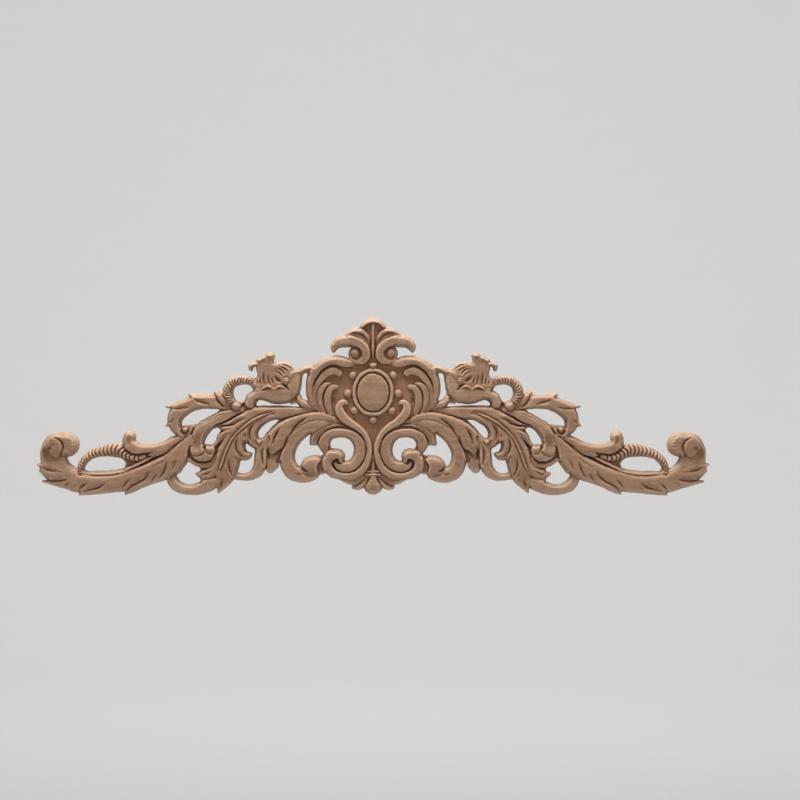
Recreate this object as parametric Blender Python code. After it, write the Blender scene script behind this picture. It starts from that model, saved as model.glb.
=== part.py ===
"""Carved wood applique: one board, pierced and carved with scrolls, leaves and a jewelled middle.

The carving is a thickness over the flat back. It is drawn in millimetres for the right half,
x along the ornament and z up it, and mirrored. Later forms lie over earlier ones.
"""

import bpy
import numpy as np

LENGTH = 0.500  # tip to tip, m
HALF_DRAWN = 250.0  # mm, half length of the drawing
MM = 0.001  # m
DEEPEST = 14.0  # mm, back to the highest crest
THINNEST = 4.0  # mm, floor of the deepest cut
RIM = 6.5  # mm, thickness of the bare edge all round
EDGE_SLOPE = 2.2  # how fast the carving may rise from the edge
EDGE_SOFT = 0.8  # mm, how softly that slope meets the carving
EDGE_REACH = 4.5  # mm from the outline within which that slope can matter
CUTTER = 0.3  # mm, how far the cutter rounds creases and crests
GRID = 0.7  # mm between the points where the relief is taken
FACES_HALF = 4900  # triangles kept in one half
SAMPLE = 0.5  # mm between the points that a curve is drawn with
STRETCH = 12  # pieces of a curve that are searched together
AROUND = 1.5  # mm outside a form where its height is still known
BLEND = 0.7  # mm over which one form rises out of another
GOUGE = 0.75  # share of a drawn cut's depth that is kept
CAP = 1.1  # radius of a rounded section over its half width
WOOD_COLOUR = (0.60, 0.40, 0.27, 1.0)
WOOD_ROUGHNESS = 0.6


def spline(stations, gap=SAMPLE):
    """Points on a smooth curve through the stations, with every column carried along."""
    p = np.array(stations, float)
    span = np.hypot(*np.diff(p[:, :2], axis=0).T)[:, None]
    at_station = np.r_[0, np.cumsum(span)]
    rise = np.diff(p, axis=0) / span
    slope = np.vstack([rise[:1], rise])
    if len(p) > 2:
        slope[1:-1] = (rise[:-1] * span[1:] + rise[1:] * span[:-1]) / (span[1:] + span[:-1])
        slope[0] = 1.5 * rise[0] - 0.5 * slope[1]
        slope[-1] = 1.5 * rise[-1] - 0.5 * slope[-2]
    at = np.linspace(0, at_station[-1], max(3, int(at_station[-1] / gap) + 2))
    i = np.clip(np.searchsorted(at_station, at, side="right") - 1, 0, len(p) - 2)
    h = span[i]
    u = (at[:, None] - at_station[i, None]) / h
    here = p[i] * (1 + 2 * u) * (1 - u) ** 2 + slope[i] * h * u * (1 - u) ** 2
    return here + p[i + 1] * u * u * (3 - 2 * u) + slope[i + 1] * h * u * u * (u - 1)


def near_box(points, line, reach):
    """The points that lie within reach of the line's box."""
    low, high = line[:, :2].min(0) - reach, line[:, :2].max(0) + reach
    return np.flatnonzero(((points > low) & (points < high)).all(1))


def nearest(points, line, reach):
    """The line's columns at the place closest to each point, and the distance across, left positive."""
    best = np.full(len(points), float(reach))
    place = np.zeros(len(points))
    side = np.ones(len(points))
    for first in range(0, len(line) - 1, STRETCH):
        some = near_box(points, line[first:first + STRETCH + 1], reach)
        for i in range(first, min(first + STRETCH, len(line) - 1)):
            ab = line[i + 1, :2] - line[i, :2]
            ap = points[some] - line[i, :2]
            t = np.clip(ap @ ab / (ab @ ab), 0, 1)
            gap = np.hypot(*(ap - t[:, None] * ab).T)
            closer = gap < best[some]
            to = some[closer]
            best[to] = gap[closer]
            place[to] = i + t[closer]
            side[to] = np.where(ab[0] * ap[closer, 1] < ab[1] * ap[closer, 0], -1, 1)
    i = np.minimum(place.astype(int), len(line) - 2)
    share = (place - i)[:, None]
    return line[i] * (1 - share) + line[i + 1] * share, best * side


def domed(u):
    """A rounded section: 1 in the middle, 0 at the edges."""
    foot = np.sqrt(CAP**2 - 1)
    return (np.sqrt(CAP**2 - np.clip(u * u, 0, 1)) - foot) / (CAP - foot)


def pillow(u):
    """A broad section, flatter in the middle."""
    return domed(np.abs(u) ** 2.2)


def leaf_left(u):
    """A leaf's section: its ridge on the left, a long scooped slope down to the right."""
    ridge = 0.45
    short = domed((u - ridge) / (1 - ridge))
    long = 0.45 + 0.55 * np.clip(1 - (ridge - u) / (1 + ridge), 0, 1) ** 1.4
    return np.where(u > ridge, short, long)


def vee(u):
    """A cut with sloping sides."""
    return (1 - np.abs(u)) ** 1.2


class Band:
    """A strip along a curve. Stations are (x, z, half width, crest thickness)."""

    def __init__(self, stations, edge=7.5, section=pillow, mode="over"):
        self.line = spline(stations)
        self.edge, self.section, self.mode = edge, section, mode

    def at(self, points):
        reach = self.line[:, 2].max() + AROUND
        near = near_box(points, self.line, reach)
        there, across = nearest(points[near], self.line, reach)
        half = np.maximum(there[:, 2], 0.05)
        u = np.clip(across / half, -1, 1)
        thick = self.edge + (there[:, 3] - self.edge) * self.section(u)
        return near, half - np.abs(across), thick


class Dome:
    """An oval boss, turned by an angle in degrees."""

    def __init__(self, x, z, rx, rz, crest, edge=6.5, turn=0, section=domed, mode="over"):
        self.centre, self.radii = np.array([[x, z]], float), np.array([rx, rz])
        self.edge, self.crest, self.section, self.mode = edge, crest, section, mode
        self.turn = np.radians(turn)

    def at(self, points):
        near = near_box(points, self.centre, self.radii.max() + AROUND)
        c, s = np.cos(self.turn), np.sin(self.turn)
        local = (points[near] - self.centre) @ np.array([[c, -s], [s, c]])
        q = np.hypot(*(local / self.radii).T)
        thick = self.edge + (self.crest - self.edge) * self.section(np.clip(q, 0, 1))
        return near, (1 - q) * self.radii.min(), thick


class Plate:
    """A flat patch inside a closed smooth outline, rounded over towards its edge."""

    def __init__(self, outline, crest=0.0, edge=6.0, rounding=3.0, mode="over"):
        self.line = spline(np.c_[[*outline, outline[0]], np.zeros((len(outline) + 1, 2))])
        self.line[-1] = self.line[0]
        self.crest, self.edge, self.rounding, self.mode = crest, edge, rounding, mode

    def at(self, points):
        reach = self.rounding + AROUND
        near = near_box(points, self.line, reach)
        p = points[near]
        _, gap = nearest(p, self.line, reach)
        crossings = np.zeros(len(p), int)
        for (x0, z0), (x1, z1) in zip(self.line[:-1, :2], self.line[1:, :2]):
            spans = (z0 > p[:, 1]) != (z1 > p[:, 1])
            if z0 != z1:
                crossings += spans & (p[:, 0] < x0 + (x1 - x0) * (p[:, 1] - z0) / (z1 - z0))
        inside = np.where(crossings % 2 == 1, np.abs(gap), -np.abs(gap))
        slope = domed(1 - np.clip(inside / self.rounding, 0, 1))
        return near, inside, self.edge + (self.crest - self.edge) * slope


def groove(stations):
    """A cut along a curve. Stations are (x, z, half width, depth)."""
    shallow = [(x, z, half, depth * GOUGE) for x, z, half, depth in stations]
    return Band(shallow, 0.0, vee, "sink")


def pit(x, z, rx, rz, depth, turn=0):
    """A small oval cut."""
    return Dome(x, z, rx, rz, depth, 0.0, turn, vee, "sink")


def hollow(q):
    """The section of a wide shallow hollow."""
    return (1 - q * q) ** 2


def opening(outline):
    """A place where the board is sawn through."""
    return Plate(outline, mode="cut")


def notches(stations, places, lean, half, depth, bow=0.8):
    """Bowed cuts across a band, at shares of its length. Lean shifts them to one side."""
    line = spline(stations)
    cuts = []
    for share in places:
        x, z, width, _ = line[int(share * (len(line) - 1))]
        i = min(int(share * (len(line) - 1)), len(line) - 2)
        along = line[i + 1, :2] - line[i, :2]
        along /= np.hypot(*along)
        left = np.array([-along[1], along[0]])
        reach = width * 0.85
        middle = np.array([x, z]) + left * lean * width
        aside = left * reach * (1 - abs(lean))
        ends = (middle - aside, middle + along * bow, middle + aside)
        cuts.append(Band([(*end, half, depth) for end in ends], 0.0, vee, "sink"))
    return cuts


def relief(points, forms):
    """How far each point lies inside the outline, and the thickness of the board there."""
    inside = np.full(len(points), -9.0)
    thick = np.zeros(len(points))
    for form in forms:
        near, depth, height = form.at(points)
        if form.mode == "cut":
            inside[near] = np.minimum(inside[near], -depth)
            continue
        covers = depth > 0
        if form.mode == "sink":
            thick[near[covers]] -= height[covers]
            continue
        free = (inside[near] < 0) & (depth > inside[near])
        blend = np.where(free, 1.0, np.clip(depth / BLEND, 0, 1))
        if form.mode == "rise":
            height = np.maximum(height, thick[near])
        thick[near] += (height - thick[near]) * blend
        inside[near] = np.maximum(inside[near], depth)
    return inside, thick


def from_edge(x, z, ends):
    """How far each point of a grid lies from the outline, whose short pieces are given by their ends."""
    step = x[1] - x[0]
    gaps = np.full((len(x), len(z)), EDGE_REACH)
    for a, b in ends:
        first = np.maximum((np.minimum(a, b) - EDGE_REACH - [x[0], z[0]]) // step, 0).astype(int)
        last = ((np.maximum(a, b) + EDGE_REACH - [x[0], z[0]]) // step).astype(int) + 2
        here = (slice(first[0], last[0]), slice(first[1], last[1]))
        along, up = x[here[0], None] - a[0], z[None, here[1]] - a[1]
        ab = b - a
        share = np.clip((along * ab[0] + up * ab[1]) / (ab @ ab + 1e-12), 0, 1)
        gaps[here] = np.minimum(gaps[here], np.hypot(along - share * ab[0], up - share * ab[1]))
    return gaps


def blurred(values, width):
    """The values of a grid, each averaged with its neighbours up to a few widths away."""
    reach = int(3 * width) + 1
    weights = np.exp(-0.5 * (np.arange(-reach, reach + 1) / width) ** 2)
    weights /= weights.sum()
    for axis in (0, 1):
        ends = [(reach, reach) if k == axis else (0, 0) for k in (0, 1)]
        spread = np.pad(values, ends, mode="edge")
        length = values.shape[axis]
        values = sum(w * np.take(spread, range(k, k + length), axis) for k, w in enumerate(weights))
    return values


def surface(x, z, solid, thick, ends):
    """The thickness on a grid, with the edge eased down to the rim and everything rounded by the cutter."""
    ease = RIM + EDGE_SLOPE * from_edge(x, z, ends)
    near = np.clip(0.5 + (ease - thick) / (2 * EDGE_SOFT), 0, 1)
    soft = ease + (thick - ease) * near - EDGE_SOFT * near * (1 - near)
    soft = np.clip(soft, THINNEST, DEEPEST) * solid
    width = CUTTER / (x[1] - x[0])
    return blurred(soft, width) / np.maximum(blurred(solid.astype(float), width), 1e-3)


def shield():
    """The field behind the jewel, the oval jewel in its ring, and the beads round it."""
    ring = [(14.2 * np.sin(a), 16.4 * np.cos(a), 1.5, 10.5) for a in np.linspace(0, np.pi, 13)]
    beads = ((0, 20.2), (15.2, 12.7), (18.8, -1), (13.9, -13.6), (0, -20.4))
    return [
        Plate([(-9, 25), (12, 23), (28, 23), (41, 14), (45, 0), (41, -12), (24, -25), (6, -36),
               (-9, -46)], 7.2, 6.8),
        Band(ring, 7.0),
        Dome(0, 0, 12.0, 14.3, 11.5, 7.5, section=pillow),
        *(Dome(x, z, 3.0, 3.0, 10.4, 7.0) for x, z in beads),
    ]


def finial():
    """The fan leaves at the top of the middle, between the two upper scrolls."""
    return [
        Plate([(-5, 50), (9.6, 48.4), (15, 45.5), (20, 41), (10, 34), (5, 22), (-5, 22)], 6.5, 6.5),
        Dome(0, 44.6, 9.6, 10.0, 8.5, 6.5),
        pit(4.4, 46.2, 2.4, 4.6, 1.5, -14),
        Band([(-8.3, 48.9, 1.3, 10.5), (-5, 51.9, 1.9, 11.5), (0, 53.1, 2.0, 12), (5, 51.9, 1.9, 11.5),
              (8.3, 48.9, 1.3, 10.5)], 8.0),
        Band([(0, 52, 2.0, 10.5), (0, 46, 1.5, 11), (0, 38, 1.5, 10.5), (0, 31, 1.7, 10), (0, 26, 1.0, 9)],
             7.0, domed, "rise"),
        Band([(3.4, 33.6, 1.2, 8.5), (5.0, 37.8, 1.9, 9.4), (8.4, 41.2, 2.2, 9.8), (12.6, 43.0, 2.2, 9.8),
              (16.4, 43.0, 1.6, 9.6), (18.6, 42.0, 0.8, 9)], 7.0, mode="rise"),
        Band([(2.5, 35.6, 0.6, 8.5), (3.9, 40.4, 1.6, 10.5), (6.9, 43.8, 2.1, 11), (10.6, 45.7, 2.3, 11.5),
              (14.4, 45.9, 1.9, 11.5), (17.4, 44.6, 1.4, 10.5), (19.4, 43.2, 0.6, 9)], 7.0),
        groove([(4.4, 38.6, 0.3, 0.6), (7.6, 42.2, 0.7, 1.8), (11.6, 44.2, 0.8, 2), (15.6, 44.4, 0.5, 1)]),
    ]


def top_scroll():
    """The open C at the top, with a bead in its eye."""
    return [
        Dome(13.4, 29.0, 5.2, 5.4, 8.6, 8.6),
        Plate([(20, 37), (21.6, 33.8), (24.4, 33.1), (27.4, 31.4), (29.3, 29.4), (30.8, 30.2), (31, 34),
               (27, 38)], 10.0, 7.0, 2.0),
        Band([(30.1, 30.5, 0.9, 9), (30.1, 33.6, 2.0, 10), (28.0, 36.1, 3.2, 11), (24.2, 37.8, 4.4, 12),
              (19.4, 38.2, 4.7, 12.5), (13.4, 37.6, 4.0, 12.5), (8.4, 35.1, 3.8, 12.5),
              (5.4, 30.6, 3.6, 12.5), (5.6, 25.8, 3.6, 12), (9.6, 22.8, 2.5, 11), (14.0, 22.9, 1.7, 10),
              (16.7, 25.2, 1.1, 9.5), (17.4, 28.2, 0.6, 9)], 7.0),
        Dome(13.4, 29.3, 4.4, 4.4, 11.5, 7.0),
    ]


def side_scrolls():
    """The big C at the side of the jewel, and the three curls nested inside it."""
    return [
        Band([(12.6, 20.1, 0.5, 8), (16.5, 21.1, 2.7, 11), (22, 22.6, 4.2, 12), (28, 23.5, 4.0, 12.5),
              (34, 22.4, 3.9, 12.5), (39.3, 19.4, 4.0, 12.5), (43.4, 14.9, 4.1, 12.5), (46.4, 9.5, 3.6, 12),
              (47.4, 3, 3.1, 11.5), (46.9, -3.5, 2.8, 11), (44.3, -9, 2.5, 10), (40.3, -12.8, 2.2, 9),
              (35.5, -15.8, 1.4, 8)], 7.5),
        Band([(25.2, 14.3, 2.8, 10.5), (29.6, 15.9, 3.3, 11), (34.0, 14.8, 3.5, 11), (38, 11.4, 3.3, 11),
              (41.2, 6.6, 2.9, 11), (43.4, 0.5, 2.1, 10.5), (43.5, -6, 1.7, 10),
              (41.6, -11.6, 1.5, 9)], 7.0),
        Band([(32.4, 6.3, 1.5, 9.5), (34.9, 5.8, 2.2, 10.5), (37.8, 3.3, 2.6, 11), (39.5, -0.5, 2.7, 11),
              (39.9, -5, 2.6, 10.5), (38.9, -10, 2.3, 10), (36.6, -15, 1.7, 9)], 7.0),
        Band([(27.4, 3.9, 2.0, 9.5), (30.6, 3.2, 2.8, 10.5), (33.2, 0, 3.1, 10.5), (34.1, -5.5, 3.1, 10.5),
              (33.5, -11, 2.9, 10), (31.8, -16, 2.2, 9)], 7.0),
        groove([(24, 18.9, 0.3, 0.4), (28, 20.3, 0.8, 2.5), (32, 19.9, 0.9, 3.2), (37, 16.9, 1.0, 3.5),
                (41.4, 12.0, 0.9, 3), (44, 6.8, 0.7, 2), (45, 2.5, 0.3, 0.3)]),
        pit(29.2, -6.0, 1.6, 3.6, 1.8, 8),
    ]


def heart_scroll():
    """The hooked strap that runs down from the jewel and rolls up into the lower volute."""
    strap = [(18.8, -9.0, 1.0, 9.5), (20.5, -7.7, 1.9, 10.5), (22.9, -7.7, 2.6, 11),
             (25.0, -10.2, 3.3, 11.5), (24.9, -14.2, 3.8, 12), (21.9, -18.8, 3.7, 12),
             (16.9, -22.8, 3.2, 12), (11.0, -26.6, 2.8, 12), (6.4, -31.2, 2.5, 12), (3.6, -37.2, 2.5, 12),
             (2.7, -43, 2.4, 12), (3.8, -50.0, 2.8, 12), (6.9, -56.4, 3.1, 12), (11.9, -60.9, 3.3, 12),
             (18.2, -62.7, 3.3, 12), (24.6, -62.1, 3.0, 12), (29.8, -60.2, 3.5, 12.5),
             (33.7, -56.0, 4.1, 13), (33.9, -51.0, 4.3, 13), (31.2, -47.0, 4.4, 13),
             (27.0, -46.0, 4.2, 13), (24.0, -48.4, 3.1, 12.5), (24.1, -51.0, 2.2, 11.5)]
    ring = [(35.8, -44, 2.8, 9.5), (37, -40, 4.2, 10.5), (35, -34.4, 4.6, 11), (30, -30.8, 3.9, 11.5),
            (24, -30.2, 3.8, 11.5), (18, -31.4, 4.2, 11.5), (12.8, -34.8, 4.8, 11.5),
            (10.1, -40, 5.0, 11.5), (10.1, -45.6, 5.0, 11.5), (12.6, -51, 4.9, 11.5),
            (17.4, -54.8, 4.6, 11.5), (22.6, -55.9, 3.9, 11), (26.6, -55.0, 2.7, 11),
            (28.2, -53.0, 1.6, 10.5)]
    return [
        Band([(0, -38, 3, 7), (4, -46, 5, 7), (3, -56, 6, 7)], 6.0),
        Band([(3, -44, 3, 7.5), (8, -53, 3, 7.5), (14, -58.5, 3, 7.5), (24, -60, 3, 7.5)], 7.0),
        Dome(27.5, -52, 6, 6, 8.5, 8.5),
        Plate([(33, -56), (38, -50), (42, -55), (40, -61), (36.2, -60.4)], 8.0, 7.0, 2.0),
        Band(ring, 8.0),
        Band(strap, 8.0),
        groove([(24, -58.9, 0.3, 0.6), (28.2, -56.9, 0.8, 2.5), (30.3, -54, 0.9, 3.5),
                (30.1, -51.4, 0.9, 3.5), (28.0, -50.2, 0.8, 3), (26.2, -50.8, 0.8, 3),
                (26.0, -52.6, 0.7, 2)]),
        groove([(22.4, -50.6, 0.4, 1), (24, -52.4, 0.8, 2.5), (25.8, -53.4, 0.6, 1.5)]),
    ]


def shell():
    """The ribbed shell hanging at the foot of the middle."""
    return [
        Band([(4, -60, 2.0, 9), (8.4, -64.2, 2.5, 10), (13.4, -66.8, 2.3, 10), (18.4, -66.4, 2.0, 10),
              (23.6, -64.4, 1.4, 9)], 7.0),
        Band([(3, -61, 1.6, 9.5), (6.2, -66.6, 2.5, 10.5), (10.2, -69.8, 2.6, 10.5),
              (14.4, -70.6, 1.7, 9.5)], 7.5),
        Band([(0, -60, 2.6, 10.5), (0, -66, 4.6, 11.5), (0, -68.5, 7.6, 12)], 8.0),
        groove([(2.6, -62.4, 0.6, 1.5), (4.5, -67, 0.9, 3), (7.6, -72.0, 0.8, 2)]),
        groove([(4.0, -62.0, 0.4, 1), (7.8, -66.2, 0.8, 2.5), (12, -69.2, 0.8, 2.5),
                (16.4, -70.4, 0.5, 1.5)]),
        Band([(0, -48, 1.2, 9), (0, -57, 1.8, 10)], 7.0, domed, "rise"),
        Band([(-5, -58.8, 1.1, 11), (4.4, -58.6, 1.1, 10.5)], 7.5, domed),
        Band([(-5, -61.5, 1.2, 11.5), (5.2, -61.1, 1.1, 11)], 7.5, domed),
    ]


def flower():
    """The fluted flower that rises from a smooth cupped leaf."""
    cup_rims = ([(63.4, 1.0, 0.5, 12.5), (66, 3.4, 0.8, 13), (69.6, 4.4, 0.9, 13), (72.4, 3.3, 0.8, 13),
                 (73.9, 2.0, 0.5, 12.5)],
                [(73.9, 2.0, 0.5, 12.5), (76, 3.7, 0.8, 13), (78.8, 4.4, 0.9, 13), (81.8, 3.0, 0.8, 13),
                 (84, 1.0, 0.5, 12.5)],
                [(84, 1.0, 0.5, 12), (86, 1.8, 0.7, 12.5), (88.6, 1.2, 0.8, 12.5), (91, -1.0, 0.6, 12)])
    slots = (((61.8, 17.6), (64.8, 19.9), (70.6, 20.7)), ((64.4, 16.0), (66.9, 18.0), (70.8, 19.3)),
             ((66.4, 14.2), (68.6, 16.4), (72.0, 17.6)), ((68.2, 12.4), (70.3, 14.4), (73.4, 15.8)),
             ((74.8, 6.8), (75.5, 8.9), (75.9, 11.0)), ((77.6, 6.4), (78.3, 9.3), (78.5, 12.8)),
             ((81.2, 6.4), (81.8, 9.6), (82.0, 14.4)), ((83.8, 6.2), (84.4, 8.4), (84.8, 11.6)),
             ((86.3, 6.4), (86.6, 8.2), (86.6, 10.2)))
    return [
        Plate([(60, 13), (61.2, 20.2), (65, 22.4), (70, 22.6), (75.4, 22.6), (80, 23.4), (86, 22.4),
               (87, 17.4), (86.8, 13), (88.8, 9.8), (91.5, 7), (89, 1), (75, 0), (62, 1)], 10.0, 6.5, 3.5),
        Plate([(73.6, 27.0), (74.6, 29.0), (77, 29.9), (79.6, 28.8), (81.6, 26.8), (84.2, 26.3),
               (86.6, 24.4), (87.6, 22), (87, 15), (84, 8), (78, 10), (75.4, 16),
               (74.8, 22.6)], 9.6, 8.5, 1.5, "rise"),
        Dome(77.0, 27.4, 3.3, 2.4, 11.6, 8.0, mode="rise"),
        Dome(81.6, 25.6, 2.6, 1.8, 11.0, 8.0, -24, mode="rise"),
        Dome(85.0, 24.0, 2.8, 1.9, 11.0, 8.0, -20, mode="rise"),
        *(groove([(*foot, 0.6, 2.0), (*middle, 0.8, 2.4), (*top, 0.4, 0.8)]) for foot, middle, top in slots),
        pit(71.2, 9.6, 3.9, 1.8, 3.2, 38),
        Band([(86.2, 20.6, 1.6, 9.5), (89.2, 20.9, 1.9, 10.5), (91.5, 19.4, 1.9, 10.5),
              (91.5, 17.2, 1.5, 9.5)], 6.5),
        Band([(58.2, 14.4, 2.6, 10), (58.5, 11, 4.5, 10.5), (59.4, 4.2, 5.6, 11.3), (63, -1.2, 5.9, 11.8),
              (69.5, -2.3, 6.5, 12), (77, -2.1, 6.0, 12), (83.5, -2.3, 4.2, 12), (88.3, -3, 4.6, 12),
              (91.3, -5.7, 4.7, 12), (91.7, -8.2, 4.3, 12)], 7.0, pillow),
        *(Band(stations, 10.5, mode="rise") for stations in cup_rims),
        groove([(62.8, 1.6, 0.5, 1.5), (65.2, 3.9, 0.9, 4), (68.2, 5.6, 0.6, 2)]),
        Band([(56.6, 15.8, 1.6, 10), (59.4, 14.9, 1.8, 10.8), (61.2, 12.8, 1.8, 11), (62.2, 10.6, 1.4, 11)],
             9.5, mode="rise"),
        Dome(65, 8.6, 3.2, 3.2, 11.5, 9.0),
        *(groove([(63.4, z, 0.3, 0.5), (65.4, z + 0.5, 0.5, 1.0),
                  (67.4, z, 0.3, 0.5)]) for z in (7.4, 9.0, 10.6)),
        groove([(55.2, -0.2, 0.4, 1), (58, -3, 0.8, 2.2), (60.8, -5.4, 0.8, 2.2), (63, -7, 0.4, 1)]),
        Plate([(43, 18.5), (49, 19.8), (56, 17), (61, 15), (58, 10), (54.4, 8), (53.2, 12.6), (50.2, 15.2),
               (47.6, 14.4), (44.4, 14)], 9.6, 7.5, 1.0, "rise"),
        Band([(43.5, 18.4, 1.7, 10), (47.5, 18.2, 2.0, 10.5), (51, 17.6, 2.1, 10.5),
              (55.0, 15.9, 2.0, 10.5), (58.4, 15.1, 1.7, 10), (60.6, 14.6, 1.2, 9.5)], 7.5, mode="rise"),
        Band([(47.6, 12.6, 1.0, 9), (48.4, 15, 1.3, 9.5), (50.6, 15.9, 1.5, 9.5), (53.2, 14.6, 1.4, 9.5),
              (54.8, 11, 1.2, 9)], 6.0, mode="rise"),
    ]


def stalk():
    """The short stalk that ties the big C to the flower's cup."""
    return [
        Plate([(49, -12), (54, -12), (55.4, -10.2), (56.6, -8.5), (62, -8.3), (62, -5), (60, 3), (56, 4),
               (54.4, -2), (47.6, -8.2)], 8.0, 7.0, 1.2),
        Band([(41.5, -13.7, 0.5, 8), (46.5, -11.8, 1.7, 9.5), (50.5, -9.4, 2.6, 10.5),
              (54.2, -6.8, 2.7, 10.5), (56.0, -3.6, 1.5, 10)], 7.5),
    ]


UPPER_ROPE = [(89.5, 6.6, 3.2, 9), (93, 8.4, 3.4, 10.5), (98, 8.9, 3.5, 11), (102.5, 8.5, 3.7, 11.5),
              (106.2, 6.0, 3.8, 11.5), (108.4, 2, 3.9, 12), (108.4, -2.3, 3.8, 12), (106.8, -5.9, 3.5, 12),
              (104.2, -8.8, 3.0, 11.5)]
LOWER_ROPE = [(171.4, -47.9, 2.5, 10.5), (176, -49.0, 2.9, 11), (181, -48.2, 3.1, 11.5),
              (186, -46, 3.9, 11.5), (190.5, -43.7, 5.0, 11.5), (196, -43.1, 4.9, 11.5),
              (202, -43.8, 4.1, 11.5), (208, -45.2, 3.7, 11.5), (213, -48.1, 3.3, 11.5),
              (216.9, -51.6, 2.8, 11.5), (218.7, -55.4, 2.4, 11), (218.8, -60.2, 2.0, 10.5)]


def upper_rope():
    """The ribbed loop to the right of the flower, ending in a ball."""
    return [
        Band(UPPER_ROPE, 6.5, domed),
        *notches(UPPER_ROPE, np.linspace(0.08, 0.94, 15), -0.2, 0.7, 2.4, 1.2),
        Dome(102.4, -10.2, 4.3, 4.1, 12.5, 7.0),
        pit(97.2, -9.6, 1.3, 2.2, 3.5),
    ]


def lower_rope():
    """The ribbed arch on the arm, its ribs closing up towards the right."""
    return [
        Band(LOWER_ROPE, 6.5, domed),
        *notches(LOWER_ROPE, (0.045, 0.105, 0.165, 0.22, 0.27, 0.32, 0.372, 0.424, 0.476, 0.526, 0.576, 0.624,
                              0.672, 0.718, 0.762, 0.804, 0.844, 0.882, 0.918, 0.952), 0.0, 0.6, 2.6, 1.4),
    ]


def first_leaf():
    """The leaf that leaves the jewel to the right, with the large lower scroll and a hanging lobe."""
    return [
        Band([(75, -43, 3, 8), (75.2, -50, 4.6, 8.5), (75.6, -54, 4.7, 9), (76.8, -57.0, 3.3, 9)], 7.0),
        pit(71.6, -51.2, 1.3, 3.4, 2.8),
        Band([(25, -22, 1.5, 8.5), (33, -20.6, 4, 10.5), (42, -20.2, 5.8, 11), (52, -22, 6.2, 11.5),
              (62, -26, 7.0, 12), (69, -31, 7.8, 12.5), (73.4, -37.6, 7.8, 12), (75.3, -43.3, 3.8, 11),
              (75.3, -46.4, 0.8, 9)], 8.0, pillow),
        Band([(30, -22, 1.0, 9), (38, -23.6, 3.6, 11), (46, -26.6, 5.8, 11.5), (54, -31, 6.0, 11.5),
              (60.2, -37, 5.4, 11.5), (62.9, -44, 5.4, 11.5), (64.2, -51, 5.9, 11.5),
              (60.6, -58.5, 6.2, 11.5), (53, -61.4, 6.0, 11.5), (45.8, -59.6, 6.0, 11.5)], 8.0),
        Dome(46, -54.8, 8.9, 8.6, 13, 10.0, section=domed),
        groove([(54.6, -53.8, 0.6, 1.5), (52.8, -56.4, 1.1, 4), (50.8, -58.2, 1.0, 3.5),
                (48.4, -58.8, 0.4, 1)]),
        groove([(51.2, -60.6, 0.3, 0.5), (54.4, -61.2, 0.7, 1.2), (57.6, -60.4, 0.3, 0.5)]),
        Band([(21, -25, 0.7, 9), (27, -24.6, 1.4, 10), (34, -26.4, 1.9, 10.5), (39.5, -29.6, 2.6, 11),
              (43.3, -33.5, 3.2, 11), (44.4, -37.2, 3.2, 10.5), (44.4, -38.9, 2.9, 10)], 7.0, leaf_left),
        groove([(49.7, -19.1, 0.4, 1), (53, -21.1, 1.0, 3), (56.7, -24, 1.0, 3.5), (59.6, -27.4, 0.9, 3),
                (61.4, -31, 0.4, 0.8)]),
        groove([(69.4, -26.6, 0.4, 0.8), (71.8, -30, 1.0, 3), (73.8, -34.4, 0.9, 3),
                (74.9, -38.8, 0.4, 0.8)]),
        groove([(64.6, -33.0, 0.5, 1.5), (64.9, -36.6, 0.8, 2.5), (66.8, -40.8, 0.7, 1.8),
                (70.4, -44.2, 0.6, 1.5), (74.6, -47.2, 0.5, 1.2)]),
        groove([(77.9, -41.4, 0.8, 2.5), (78.4, -45, 1.0, 3), (78, -49, 0.9, 2)]),
    ]


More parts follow.
